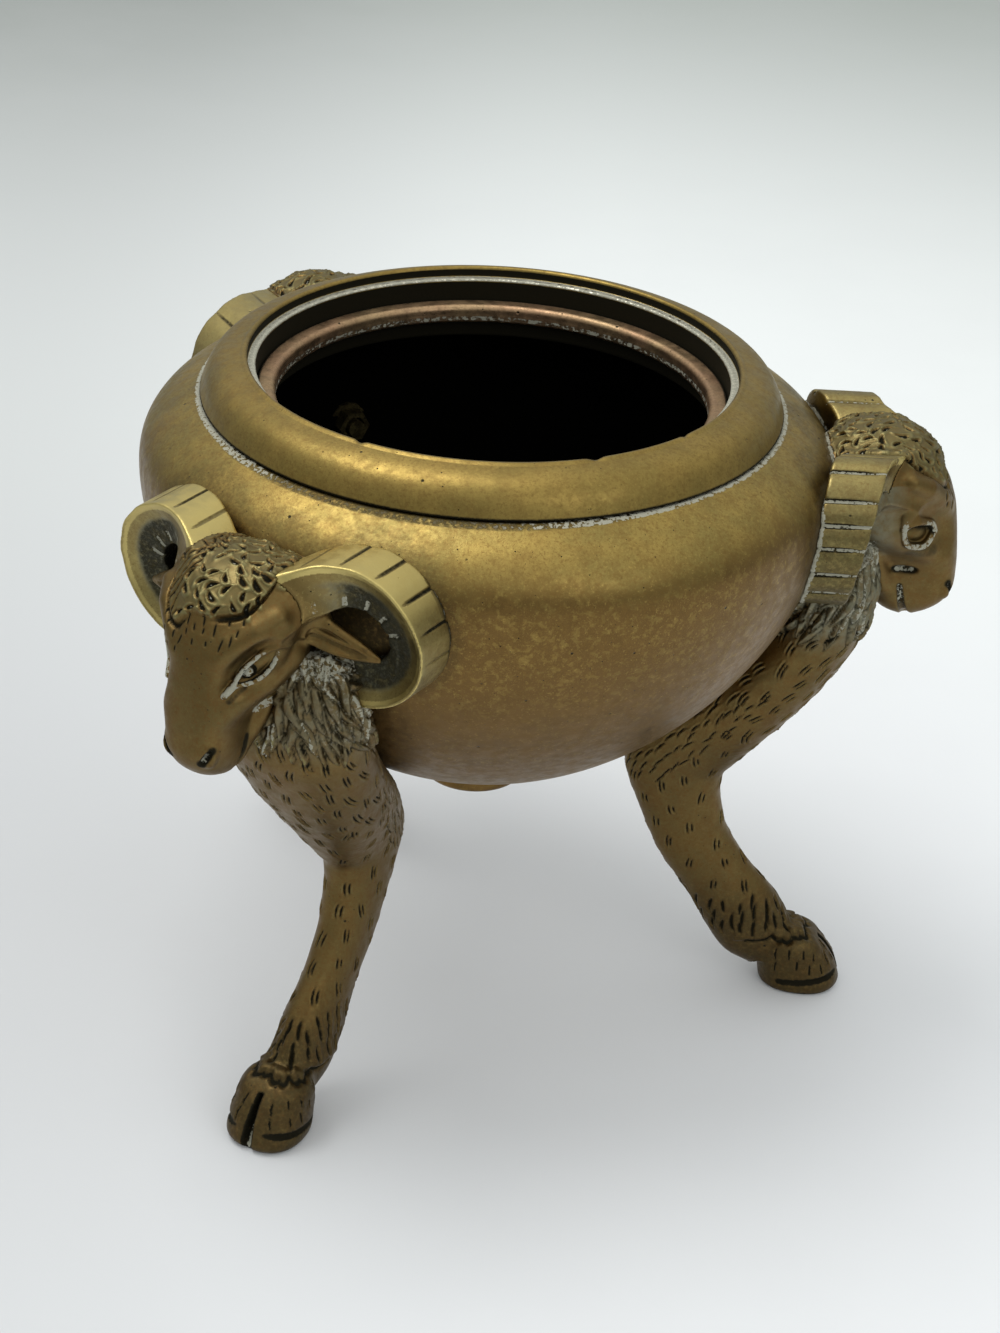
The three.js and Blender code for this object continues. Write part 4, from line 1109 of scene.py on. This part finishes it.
def dress_leg(surface, look, seed):
    """Locks at the throat, paired nicks of hair down the leg, a fringe over the hoof, and dirt."""
    rng = np.random.default_rng(seed)
    x, y, z = (part.copy() for part in surface.places.T)
    clear = (np.hypot(x, y) > bowl_radius_at(z) + 0.3) | (z < 50)
    throat = clear & (z > 73.5) & (z < 91)
    backward = np.array([-0.6, 0, -0.8])
    chosen = surface.scatter(throat, 2.0, seed)
    for index in sorted(chosen, key=lambda i: surface.places[i, 2]):
        place, normal = surface.places[index], surface.normals[index]
        flow = random_turn(rng, normal, 0.35, backward)
        pale = 0.75 * (rng.random() < (0.6 if place[2] > 84 else 0.15))
        surface.lock(place, normal, flow, rng.uniform(2.6, 4.4), rng.uniform(0.55, 1.0),
                     rng.uniform(0.6, 1.0), rng.uniform(-1, 1), pale)
    behind = clear & (z > 41) & (z < 60) & (x < 45 - 0.75 * (58 - z))
    claws = (z > 5.0) & (z <= 8.0) & (x > 53) & (np.abs(y) > 1.8)
    zones = [
        # mask, spacing, half length, half width, depth, direction, spread, pair
        (clear & (z > 52) & (z <= 74) & ~behind, 3.1, (1.3, 2.1), 0.18, 0.3, backward, 0.3, True),
        (behind, 1.7, (1.2, 2.0), 0.17, 0.28, backward, 0.2, False),
        ((z > 19) & (z <= 52) & ~behind, 3.9, (1.1, 1.8), 0.18, 0.3, DOWN, 0.25, True),
        ((z > 11.8) & (z <= 17.0), 1.8, (1.2, 2.2), 0.28, 0.5, DOWN, 0.16, False),
        (claws, 2.0, (0.9, 1.6), 0.16, 0.24, DOWN, 0.12, False),
    ]
    for number, (mask, spacing, lengths, width, depth, lean, spread, pair) in enumerate(zones):
        for place, normal, flow in surface.sown(mask, spacing, seed + 1 + number, rng, spread, lean):
            length, bend = rng.uniform(*lengths), rng.uniform(0.03, 0.13)
            surface.stroke(place, normal, flow, length, width, depth, bend, 0.13)
            if pair:
                beside = place + np.cross(normal, flow) * rng.uniform(0.6, 0.85)
                surface.stroke(beside, normal, flow, length * rng.uniform(0.6, 0.9), width, depth, bend, 0.1)
    # The fringe's edge over the coronet: uneven tufts
    turned_by = np.arctan2(y, x - 55.0)
    tufts = 0.55 * np.abs(np.sin(turned_by * 3.1 + 0.4)) + 0.35 * np.abs(np.sin(turned_by * 7.3))
    fringe = z - 10.6 + tufts - 0.1 * (x - 55)
    ledge = np.exp(-(fringe / 0.38) ** 2) * (x > 48) * (z < 14)
    surface.shift -= 0.45 * ledge
    surface.shift += 0.4 * ease(fringe, 0.1, 0.8) * (1 - ease(fringe, 0.8, 3.5)) * (x > 46)
    surface.stain(ledge, 0.85)
    wedge, gape = cleft(x, y, z)
    surface.stain(1 - ease(wedge, 0.1, 0.6), 0.75)
    surface.stain((1 - ease(wedge, 0.0, 0.3)) * (z < 5.2) * (np.abs(y) < 0.75 * gape), 0.0, 0.95)
    for groove in SOLE_GROOVES:
        _, _, distance = rope(groove, 0.0)
        surface.stain(1 - ease(distance(x, y, z), 0.45, 0.85), 0.8)
    surface.stain((z < 0.5) * 1.0, 0.6)
    top = ease(z, 82.5, 87.0) * (np.abs(y) > 2.5)
    surface.stain(top, 0.2, 0.66)
    surface.stain(ease(z, 66, 76) * (1 - ease(x, 60, 66)), 0.15, 0.42)
    surface.stain(ease(z, 71, 76), 0.1, 0.36)
    surface.dust = ease(z, 69, 76) * look["dusty"]
    surface.stain(1 - ease(z, 12, 30), 0.42)
    surface.settle()


def model_legs(heads):
    clay = Clay(LEG_LOW, LEG_HIGH, LEG_STEP)
    model_leg(clay)
    x, y, z = clay.everywhere()
    still = np.zeros(3)
    clay.field[...] = smooth_max(clay.field, inside_bowl(x, y, z, 0.0, still, 0.05), 0.2)
    top = slice(int((68 - LEG_LOW[2]) / LEG_STEP), None)
    for number, name in enumerate(LEG_TURNS):
        leg_turn = math.radians(LEG_TURNS[name])
        turn, origin = head_frame(name)
        field = clay.field.copy()
        c, s = math.cos(leg_turn - turn), math.sin(leg_turn - turn)
        shift = out_of(-turn, still, origin[None, :])[0]
        zt = z[:, :, top]
        hx, hy, hz = x * c - y * s - shift[0], x * s + y * c - shift[1], zt - shift[2]
        hx, hy, hz = np.broadcast_arrays(hx, hy, hz)
        field[:, :, top] = smooth_max(field[:, :, top], 0.1 - heads[name].sample(hx, hy, hz), 0.2)
        field[:, :, :1] = np.maximum(field[:, :, :1], 0.0)
        surface = Surface(*skin(np.pad(field, ((0, 0), (0, 0), (1, 1)), constant_values=FAR),
                                np.array(LEG_LOW) - [0, 0, LEG_STEP], LEG_STEP))
        dress_leg(surface, HEAD_LOOKS[name], LEG_SEED + 10 * number)
        surface.places[:, 2] = np.maximum(surface.places[:, 2], 0.0)
        finish_casting(surface, f"leg_{name}", leg_turn, still, LEG_SEAM)


# Turned pieces
TURNED_SIDES = 320
SEAM_FRONT_TURN, SEAM_FRONT_SPREAD = 252.0, 0.75
LIP_NICKS = [
    # turn round the lip in degrees, width, depth
    (241.0, 0.7, 0.32),
    (293.5, 1.0, 0.34),
    (318.0, 0.6, 0.24),
]


def turn_from(angle, degrees):
    """Radians from a turn given in degrees to an angle, the short way round."""
    return np.angle(np.exp(1j * (angle - math.radians(degrees))))


def in_horn_holes(radius, height, angle):
    """How far places on the bowl lie inside the horns' coils, and how near their outer edges."""
    inside, close = np.zeros(len(radius)), np.zeros(len(radius))
    for name in LEG_TURNS:
        turn, origin = head_frame(name)
        c, s = math.cos(turn), math.sin(turn)
        dx, dy = radius * np.cos(angle) - origin[0], radius * np.sin(angle) - origin[1]
        x, y, z = dx * c + dy * s, np.abs(dy * c - dx * s), height - origin[2]
        share, _, offset = coil_place(y, z, HEAD_LOOKS[name])
        band = coil_band(share)
        facing = (x > 20) * (z < 108)
        inside = np.maximum(inside, facing * (1 - ease(offset + band / 2, -0.6, 0.4)))
        close = np.maximum(close, facing * (1 - ease(offset - band / 2, 0.3, 3.4)))
        behind_head = facing * (y < 11) * (z > 74) * (z < 106)
        close = np.maximum(close, behind_head * (1 - ease(np.hypot(y / 10.5, (z - 92) / 14.5), 0.9, 1.15)))
    return inside, close


def make_bowl():
    outside = bowl_outline(0, SEAT_HEIGHT, PAD_HEIGHT, 150)
    floor = PAD_HEIGHT + BOWL_WALL
    inside = bowl_outline(-BOWL_WALL, SPIGOT_FOOT - 0.5, floor, 60)
    hole = BOSS_STUD_RADIUS + GAP
    outline = [[hole, PAD_HEIGHT], [PAD_RADIUS - 0.4, PAD_HEIGHT], *outside[::-1][1:],
               [COLLAR_RADIUS + 0.3, SEAT_HEIGHT], [SPIGOT_RADIUS + GAP, SEAT_HEIGHT],
               [SPIGOT_RADIUS + GAP, SPIGOT_FOOT], *inside[1:], [hole, floor]]

    def values(radius, height, angle):
        """Soot inside, dirt, painted shade and a painted reflection of the horns round the heads and in the
        horns' holes, and a seam under the collar: darker in front, paler elsewhere.
        """
        inner = radius < bowl_radius_at(np.minimum(height, SEAT_HEIGHT)) - 1.5
        front = np.exp(-(turn_from(angle, SEAM_FRONT_TURN) / SEAM_FRONT_SPREAD) ** 4)
        past = radius - COLLAR_RADIUS - 0.9 * front
        seam = ease(past, -1.1, -0.85) * (1 - ease(past, 0.45, 0.95)) * (height > SEAT_HEIGHT - 2.0)
        # Darker in the horns' holes and round the heads and horns: dirt, painted shade and a painted
        # reflection of the horns
        holes, close = in_horn_holes(radius, height, angle)
        recess = np.maximum(0.5 * holes, 0.34 * close)
        return {"recess": np.maximum((1.0 - inner) * recess, blend(0.55, 0.5, front) * seam),
                "residue": seam * blend(1.15, 0.4, front), "soot": 1.0 * inner}

    return turned("bowl", outline, TURNED_SIDES, values)


def make_collar():
    base, bore = SEAT_HEIGHT + GAP, MOUTH_RADIUS - LID_SEAT_WIDTH
    lip = MOUTH_RADIUS + 1.0
    shelf = RING_BOTTOM - GAP
    seat = LIP_HEIGHT - LID_SEAT_DEPTH
    outside = []
    for share in np.linspace(0, 1, 40):
        swell = COLLAR_SWELL * math.sin(math.pi * share)
        radius, height = blend(COLLAR_RADIUS, lip, share), blend(base, LIP_HEIGHT - 0.3, share)
        outside.append([radius + swell, height + swell])
    corners = [[lip - 0.3, LIP_HEIGHT], [MOUTH_RADIUS + 0.3, LIP_HEIGHT], [MOUTH_RADIUS, LIP_HEIGHT - 0.3],
               [MOUTH_RADIUS, seat + 0.15], [MOUTH_RADIUS - 0.15, seat], [bore + 0.2, seat],
               [bore, seat - 0.2], [bore, shelf], [bore - 1.5, shelf], [bore - 1.5, SPIGOT_FOOT],
               [SPIGOT_RADIUS, SPIGOT_FOOT], [SPIGOT_RADIUS, base], outside[0]]
    outline = np.concatenate([outside, along(corners, 0.35)[:-1]])

    def values(radius, height, angle):
        ledge = (radius < MOUTH_RADIUS - 0.05) * (np.abs(height - seat) < 0.25) * (radius > bore - 0.1)
        wall = (radius < MOUTH_RADIUS + 0.05) * (height < LIP_HEIGHT - 0.35)
        # Painted shadow under the collar's lower edge
        edge = 0.9 * (1 - ease(np.hypot(radius - COLLAR_RADIUS, height - base), 0.1, 0.4))
        return {"recess": np.maximum(wall * (1 - ledge), edge) - 0.9 * ledge, "residue": ledge * 0.8}

    def nick(radius, height, angle):
        """Three old dents on the lip's inner edge."""
        dent = sum(
            depth * np.exp(-(turn_from(angle, place) * MOUTH_RADIUS / width) ** 2)
            for place, width, depth in LIP_NICKS
        )
        near = 1 - ease(np.hypot(radius - MOUTH_RADIUS - 0.3, height - LIP_HEIGHT), 0.2, 1.0)
        return radius + 0.6 * dent * near, height - dent * near

    return turned("collar_ring", outline, 2 * TURNED_SIDES, values, nick)


def make_mouth_ring():
    inner = RING_OUTER - RING_WIDTH
    curve = [
        [inner + RING_ROUNDING * (1 - math.sin(turn)), RING_TOP - RING_ROUNDING * (1 - math.cos(turn))]
        for turn in np.linspace(0, math.pi / 2, 9)
    ]
    corners = [[RING_OUTER, RING_BOTTOM], [RING_OUTER, RING_TOP - 0.15], [RING_OUTER - 0.15, RING_TOP],
               *curve, [inner, RING_BOTTOM], [RING_OUTER, RING_BOTTOM]]
    outline = along(corners, 0.3)[:-1]

    def values(radius, height, angle):
        flank = (radius < inner + 0.1) * (1 - ease(height, RING_TOP - 1.9, RING_TOP - 1.5))
        rim = 1 - ease(height, RING_BOTTOM + 0.15, RING_BOTTOM + 0.3)
        outer = ease(radius, RING_OUTER - 0.5, RING_OUTER - 0.1)
        return {"recess": np.maximum(0.35 * flank * (1 - rim), 0.8 * outer),
                "residue": 0.62 * flank * (1 - rim)}

    return turned("mouth_ring", outline, TURNED_SIDES, values)


def make_boss():
    corners = [[0.6, BOSS_BOTTOM], [BOSS_RADIUS - 0.8, BOSS_BOTTOM], [BOSS_RADIUS - 0.25, BOSS_BOTTOM + 0.25],
               [BOSS_RADIUS, BOSS_BOTTOM + 0.8], [BOSS_RADIUS, BOSS_TOP - 0.4], [BOSS_RADIUS - 0.4, BOSS_TOP],
               [BOSS_STUD_RADIUS, BOSS_TOP], [BOSS_STUD_RADIUS, STUD_TOP - 0.3],
               [BOSS_STUD_RADIUS - 0.3, STUD_TOP], [0.3, STUD_TOP]]

    def values(radius, height, angle):
        return {"soot": height > BOSS_TOP + 0.5}

    return turned("base_boss", along(corners, 0.5), 96, values, closed=False)


# Materials
class Tree:
    """Short ways to add nodes to a node tree."""

    def __init__(self, tree):
        self.tree = tree

    def feed(self, socket, value):
        if isinstance(value, bpy.types.NodeSocket):
            self.tree.links.new(value, socket)
        else:
            socket.default_value = value

    def node(self, kind, inputs=None, **settings):
        node = self.tree.nodes.new(kind)
        for key, value in settings.items():
            setattr(node, key, value)
        for key, value in (inputs or {}).items():
            self.feed(node.inputs[key], value)
        return node

    def math(self, kind, a, b=0.0):
        return self.node("ShaderNodeMath", {0: a, 1: b}, operation=kind).outputs[0]

    def part(self, vector, axis):
        return self.node("ShaderNodeSeparateXYZ", {0: vector}).outputs[axis]

    def ramp(self, value, low, high, start=0.0, end=1.0):
        inputs = {"Value": value, "From Min": low, "From Max": high, "To Min": start, "To Max": end}
        return self.node("ShaderNodeMapRange", inputs, interpolation_type="SMOOTHSTEP").outputs["Result"]

    def mix(self, factor, a, b):
        a, b = (colour if isinstance(colour, bpy.types.NodeSocket) else (*colour, 1) for colour in (a, b))
        return self.node("ShaderNodeMix", {0: factor, 6: a, 7: b}, data_type="RGBA").outputs[2]


class Graph(Tree):
    """A node material whose patterns are laid out in millimetres."""

    def __init__(self, name):
        self.material = bpy.data.materials.new(name)
        self.material.use_nodes = True
        super().__init__(self.material.node_tree)
        self.shader = self.tree.nodes["Principled BSDF"]
        inputs = {"Vector": self.node("ShaderNodeTexCoord").outputs["Object"], "Scale": (1 / MM,) * 3,
                  "Location": tuple(-AXIS / MM)}
        self.place = self.node("ShaderNodeMapping", inputs).outputs["Vector"]

    def noise(self, size, detail=3.0, rough=0.55, warp=0.0):
        inputs = {"Vector": self.place, "Scale": 1 / size, "Detail": detail, "Roughness": rough,
                  "Distortion": warp}
        return self.node("ShaderNodeTexNoise", inputs).outputs["Fac"]

    def pits(self, size, radius, share):
        """Small round spots: 1 inside a spot, 0 elsewhere."""
        cells = self.node("ShaderNodeTexVoronoi", {"Vector": self.place, "Scale": 1 / size})
        near = self.ramp(cells.outputs["Distance"], radius / size, radius / size * 0.4)
        parts = self.node("ShaderNodeSeparateColor", {0: cells.outputs["Color"]})
        return self.math("MULTIPLY", near, self.math("LESS_THAN", parts.outputs[0], share))

    def attribute(self, name):
        return self.node("ShaderNodeAttribute", attribute_name=name).outputs["Fac"]

    def bump(self, height, distance, strength, under=None):
        inputs = {"Strength": strength, "Distance": distance * MM, "Height": height}
        if under is not None:
            inputs["Normal"] = under
        return self.node("ShaderNodeBump", inputs).outputs["Normal"]

    def finish(self, colour, roughness, normal, metallic=1.0):
        for key, value in (("Base Color", colour), ("Roughness", roughness), ("Normal", normal)):
            self.feed(self.shader.inputs[key], value)
        self.shader.inputs["Metallic"].default_value = metallic
        return self.material


RESIDUE = (0.51, 0.50, 0.42)
# The dark of grime, also used for painted shade in hollows
GRIME_AND_SHADE = (0.028, 0.025, 0.016)
DUST = (0.19, 0.185, 0.13)
SOOT = (0.006, 0.006, 0.005)
HORN_ROOT = (0.185, 0.127, 0.046)
BRASS, DARK_BRASS = (0.16, 0.13, 0.055), (0.07, 0.055, 0.026)
# Where given, a bronze's lighter colour for raised parts paints wear and highlight
BRONZES = {
    "bowl_bronze": {
        "gold": (0.375, 0.262, 0.075), "olive": (0.25, 0.19, 0.06), "brown": (0.20, 0.12, 0.036),
        "low_brown": (0.15, 0.088, 0.030), "roughness": 0.40, "has_soot": True,
    },
    "collar_bronze": {
        "gold": (0.31, 0.215, 0.062), "olive": (0.24, 0.175, 0.052), "brown": (0.19, 0.12, 0.036),
        "rubbed_and_lit": (0.66, 0.64, 0.54), "roughness": 0.40,
    },
    "copper_bronze": {
        "gold": (0.44, 0.31, 0.17), "olive": (0.41, 0.25, 0.15), "brown": (0.24, 0.16, 0.09),
        "roughness": 0.45,
    },
    "cast_bronze": {
        "gold": (0.166, 0.110, 0.038), "olive": (0.135, 0.098, 0.038), "brown": (0.15, 0.080, 0.026),
        "rubbed_and_lit": (0.225, 0.2, 0.09), "roughness": 0.44,
    },
    "horn_bronze": {
        "gold": (0.33, 0.265, 0.10), "olive": (0.25, 0.20, 0.08), "brown": (0.20, 0.135, 0.05),
        "roughness": 0.38,
    },
}
# The bronze of each piece, by the start of its name; the fixings are dull brass
BRONZE_OF = {
    "bowl": "bowl_bronze", "base_boss": "bowl_bronze", "collar": "collar_bronze", "mouth": "copper_bronze",
    "ram_head": "cast_bronze", "leg": "cast_bronze", "horn": "horn_bronze",
}
# Heights between which the bowl turns brown, and then a paler brown
BROWN_STARTS, BROWN_FULL = 108.5, 101.0
PALER_STARTS, PALER_FULL = 94.0, 76.0
BROWN_WAVER = 9.0


def brighter(colour, factor):
    return tuple(factor * part for part in colour)


def bronze(name, gold, olive, brown, roughness, low_brown=None, has_soot=False, rubbed_and_lit=None):
    """Old bronze: mottled patina, dark pits, grime and painted shade in hollows, crests lightened for wear
    and painted highlight, and pale polish residue.
    """
    g = Graph(name)
    cloud = g.noise(12.0, 4.0, 0.6, 0.4)
    colour = g.mix(g.ramp(cloud, 0.34, 0.66, 0.1, 0.9), gold, olive)
    colour = g.mix(g.ramp(g.noise(3.0, 5.0, 0.65, 0.4), 0.42, 0.68, 0.0, 0.4), colour, brown)
    colour = g.mix(g.attribute("root"), colour, HORN_ROOT)
    if low_brown:
        wavy = g.math("ADD", g.part(g.place, "Z"), g.math("MULTIPLY", cloud, BROWN_WAVER))
        patches = g.ramp(g.noise(1.3, 5.0, 0.7, 0.2), 0.50, 0.62, 1.0, 0.55)
        fade = g.math("MULTIPLY", g.ramp(wavy, BROWN_STARTS, BROWN_FULL), patches)
        colour = g.mix(fade, colour, low_brown)
        clouds = g.ramp(g.noise(4.5, 4.0, 0.6, 0.4), 0.4, 0.6, 0.3, 0.8)
        paler = g.math("MULTIPLY", g.ramp(wavy, PALER_STARTS, PALER_FULL), clouds)
        colour = g.mix(paler, colour, brighter(low_brown, 1.35))
    grain = g.noise(0.9, 4.0, 0.7)
    colour = g.mix(g.ramp(grain, 0.48, 0.66, 0.0, 0.35), colour, brown)
    speckle = g.noise(0.5, 4.0, 0.78)
    colour = g.mix(g.ramp(speckle, 0.50, 0.66, 0.0, 0.75), colour, brown)
    colour = g.mix(g.ramp(speckle, 0.45, 0.32, 0.0, 0.35), colour, brighter(gold, 1.35))
    pits = g.math("MAXIMUM", g.pits(3.2, 0.30, 0.26), g.pits(1.35, 0.14, 0.3))
    colour = g.mix(pits, colour, GRIME_AND_SHADE)
    peppered = g.math("MULTIPLY", g.pits(0.8, 0.11, 0.5), g.ramp(g.noise(7.0, 3.0, 0.6), 0.48, 0.6, 0.0, 0.8))
    colour = g.mix(peppered, colour, GRIME_AND_SHADE)
    # Hollows have a recess above zero, darkened for dirt and painted shade, and crests one below it,
    # lightened for wear and painted highlight
    recess = g.attribute("recess")
    broken = g.noise(0.7, 3.0, 0.65)
    film = g.math("MULTIPLY", g.attribute("dust"), g.ramp(g.noise(1.6, 4.0, 0.65), 0.35, 0.6, 0.4, 1.0))
    colour = g.mix(film, colour, DUST)
    # Crests lightened: wear and painted highlight
    worn_and_lit = g.ramp(g.math("MULTIPLY", recess, -1.0), 0.05, 0.85, 0.0, 0.85)
    colour = g.mix(worn_and_lit, colour, rubbed_and_lit or brighter(gold, 1.8))
    # Hollows darkened: dirt and painted shade
    dirt_and_shade = g.ramp(g.math("MULTIPLY", recess, g.ramp(broken, 0.2, 0.6, 0.7, 1.1)), 0.12, 0.75)
    colour = g.mix(dirt_and_shade, colour, GRIME_AND_SHADE)
    crust = g.math("MULTIPLY", g.attribute("residue"), g.ramp(broken, 0.36, 0.62, 0.45, 1.2))
    pale = g.ramp(crust, 0.44, 0.66)
    colour = g.mix(pale, colour, RESIDUE)
    rough = g.ramp(g.noise(1.8, 4.0, 0.6), 0.3, 0.7, roughness - 0.06, roughness + 0.1)
    rough = g.math("MAXIMUM", rough, g.math("MULTIPLY", g.math("MAXIMUM", dirt_and_shade, pale), 0.85))
    if has_soot:
        soot = g.attribute("soot")
        colour = g.mix(soot, colour, SOOT)
        rough = g.math("MAXIMUM", rough, g.math("MULTIPLY", soot, 0.95))
    normal = g.bump(g.noise(2.6, 3.0, 0.5), 0.08, 0.5)
    normal = g.bump(g.noise(0.3, 3.0, 0.7), 0.03, 0.55, normal)
    normal = g.bump(g.math("SUBTRACT", 1.0, pits), 0.12, 0.8, normal)
    normal = g.bump(crust, 0.08, 0.5, normal)
    return g.finish(colour, rough, normal)


def dull_brass():
    g = Graph("dull_brass")
    colour = g.mix(g.ramp(g.noise(1.2, 4.0, 0.6), 0.35, 0.65), BRASS, DARK_BRASS)
    colour = g.mix(g.ramp(g.noise(0.5, 3.0, 0.6), 0.55, 0.7), colour, GRIME_AND_SHADE)
    rough = g.ramp(g.noise(0.8, 3.0, 0.6), 0.3, 0.7, 0.5, 0.75)
    return g.finish(colour, rough, g.bump(g.noise(0.4, 3.0, 0.6), 0.05, 0.6))


def dress():
    """Gives every piece and every carried-over node its material."""
    bronzes = {name: bronze(name, **look) for name, look in BRONZES.items()}
    brass = dull_brass()
    for piece in bpy.data.objects:
        if piece.type != "MESH" or "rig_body" not in piece:
            continue
        chosen = [bronzes[name] for start, name in BRONZE_OF.items() if piece.name.startswith(start)]
        piece.data.materials.clear()
        piece.data.materials.append(chosen[0] if chosen else brass)


# Camera, at the photograph's place
CAMERA_FOCUS = 2965.0
CAMERA_PLACE = (0.0, -427.26, 292.48)
CAMERA_PITCH, CAMERA_YAW, CAMERA_ROLL = 28.74, 0.48, 3.21
IMAGE_HEIGHT = 1333
SENSOR_SIZE = 36.0


def set_camera():
    pitch, yaw, roll = (math.radians(turn) for turn in (CAMERA_PITCH, CAMERA_YAW, CAMERA_ROLL))
    ahead = np.array([math.sin(yaw) * math.cos(pitch), math.cos(yaw) * math.cos(pitch), -math.sin(pitch)])
    right = np.array([math.cos(yaw), -math.sin(yaw), 0.0])
    up = np.cross(right, ahead)
    right, up = (math.cos(roll) * right + math.sin(roll) * up, math.cos(roll) * up - math.sin(roll) * right)
    data = bpy.data.cameras.new("camera")
    data.sensor_width = SENSOR_SIZE
    data.lens = CAMERA_FOCUS / IMAGE_HEIGHT * SENSOR_SIZE
    data.clip_start, data.clip_end = 0.01, 20.0
    camera = add_object("camera", data)
    place = in_metres(CAMERA_PLACE)
    camera.matrix_world = Matrix([
        [right[i], up[i], -ahead[i], place[i]] for i in range(3)
    ] + [[0, 0, 0, 1]])
    bpy.context.scene.camera = camera


# Stage: the floor's colour near the object, beyond it and far away, where painted shade greys it, and the
# world's colours
FLOOR_NEAR, FLOOR_BEYOND, FLOOR_FAR_SHADED = (0.80, 0.81, 0.81), (0.83, 0.85, 0.83), (0.33, 0.355, 0.32)
FLOOR_RINGS = [60.0, 120.0, 200.0, 320.0, 520.0, 900.0, 1600.0, 3000.0]
FLOOR_SIDES = 64
OVERHEAD, HORIZON = (0.94, 0.96, 0.93), (0.45, 0.47, 0.45)
SKY_LIGHT, SKY_STRENGTH = (0.95, 0.98, 1.0), 0.91


def lamp(name, place, aim, size, power):
    data = bpy.data.lights.new(name, "AREA")
    data.shape = "DISK"
    data.size = size * MM
    data.energy = power
    light = add_object(name, data)
    start, end = Vector(in_metres(place)), Vector(in_metres(aim))
    light.location = start
    light.rotation_euler = (end - start).to_track_quat("-Z", "Y").to_euler()


def set_stage():
    """A wide pale floor, palest a little way off the object, with painted shade that greys it far away and to
    the left.
    """
    turns = np.linspace(0, 2 * math.pi, FLOOR_SIDES, endpoint=False)
    places = [
        (radius * math.cos(turn), radius * math.sin(turn), 0.0) for radius in FLOOR_RINGS for turn in turns
    ]
    places.append((0.0, 0.0, 0.0))
    faces = []
    for i in range(FLOOR_SIDES):
        j = (i + 1) % FLOOR_SIDES
        faces.append((len(places) - 1, i, j))
        for start in range(0, FLOOR_SIDES * (len(FLOOR_RINGS) - 1), FLOOR_SIDES):
            faces.append((start + i, start + FLOOR_SIDES + i, start + FLOOR_SIDES + j, start + j))
    mesh = bpy.data.meshes.new("floor")
    mesh.from_pydata(in_metres(places), [], faces)
    floor = add_object("floor", mesh)
    g = Graph("paper")
    away = g.node("ShaderNodeVectorMath", {0: g.place}, operation="LENGTH").outputs["Value"]
    near = g.mix(g.ramp(away, 90.0, 240.0), FLOOR_NEAR, FLOOR_BEYOND)
    # Painted shade: the floor greys far away
    colour = g.mix(g.ramp(away, 240.0, 760.0), near, FLOOR_FAR_SHADED)
    # Painted shade: the floor darkens towards the left
    colour = g.mix(g.ramp(g.part(g.place, "X"), 40.0, -130.0, 0.0, 0.27), colour, (0.0, 0.0, 0.0))
    colour = g.mix(g.ramp(g.noise(40.0, 3.0), 0.3, 0.7, 0.0, 0.06), colour, (0.6, 0.6, 0.6))
    normal = g.bump(g.noise(1.2, 4.0, 0.6), 0.05, 0.3)
    mesh.materials.append(g.finish(colour, 0.75, normal, 0.0))


def set_light():
    """A soft studio: pale overhead, greyer round the horizon, a lamp above and a weak one in front."""
    world = bpy.data.worlds.new("studio")
    world.use_nodes = True
    world.node_tree.nodes.clear()
    g = Tree(world.node_tree)
    climb = g.part(g.node("ShaderNodeTexCoord").outputs["Generated"], "Z")
    shade = g.mix(g.ramp(climb, 0.15, 0.9), HORIZON, OVERHEAD)
    seen = g.node("ShaderNodeBackground", {"Color": shade, "Strength": 1.0})
    sky = g.node("ShaderNodeBackground", {"Color": (*SKY_LIGHT, 1), "Strength": SKY_STRENGTH})
    path = g.node("ShaderNodeLightPath")
    shown = path.outputs["Is Camera Ray"]
    for name in ("Is Glossy Ray", "Is Transmission Ray"):
        shown = g.math("MAXIMUM", shown, path.outputs[name])
    mix = g.node("ShaderNodeMixShader", {0: shown, 1: sky.outputs[0], 2: seen.outputs[0]})
    g.node("ShaderNodeOutputWorld", {"Surface": mix.outputs[0]})
    bpy.context.scene.world = world
    lamp("key", place=(-250, 45, 800), aim=(0, 0, 70), size=460, power=2.3)
    lamp("fill", place=(380, -520, 420), aim=(0, 0, 70), size=420, power=0.42)


bpy.context.scene.view_settings.view_transform = "Standard"
set_camera()
set_stage()
set_light()
make_bowl()
make_collar()
make_mouth_ring()
make_boss()
heads = model_heads()
model_legs(heads)
dress()
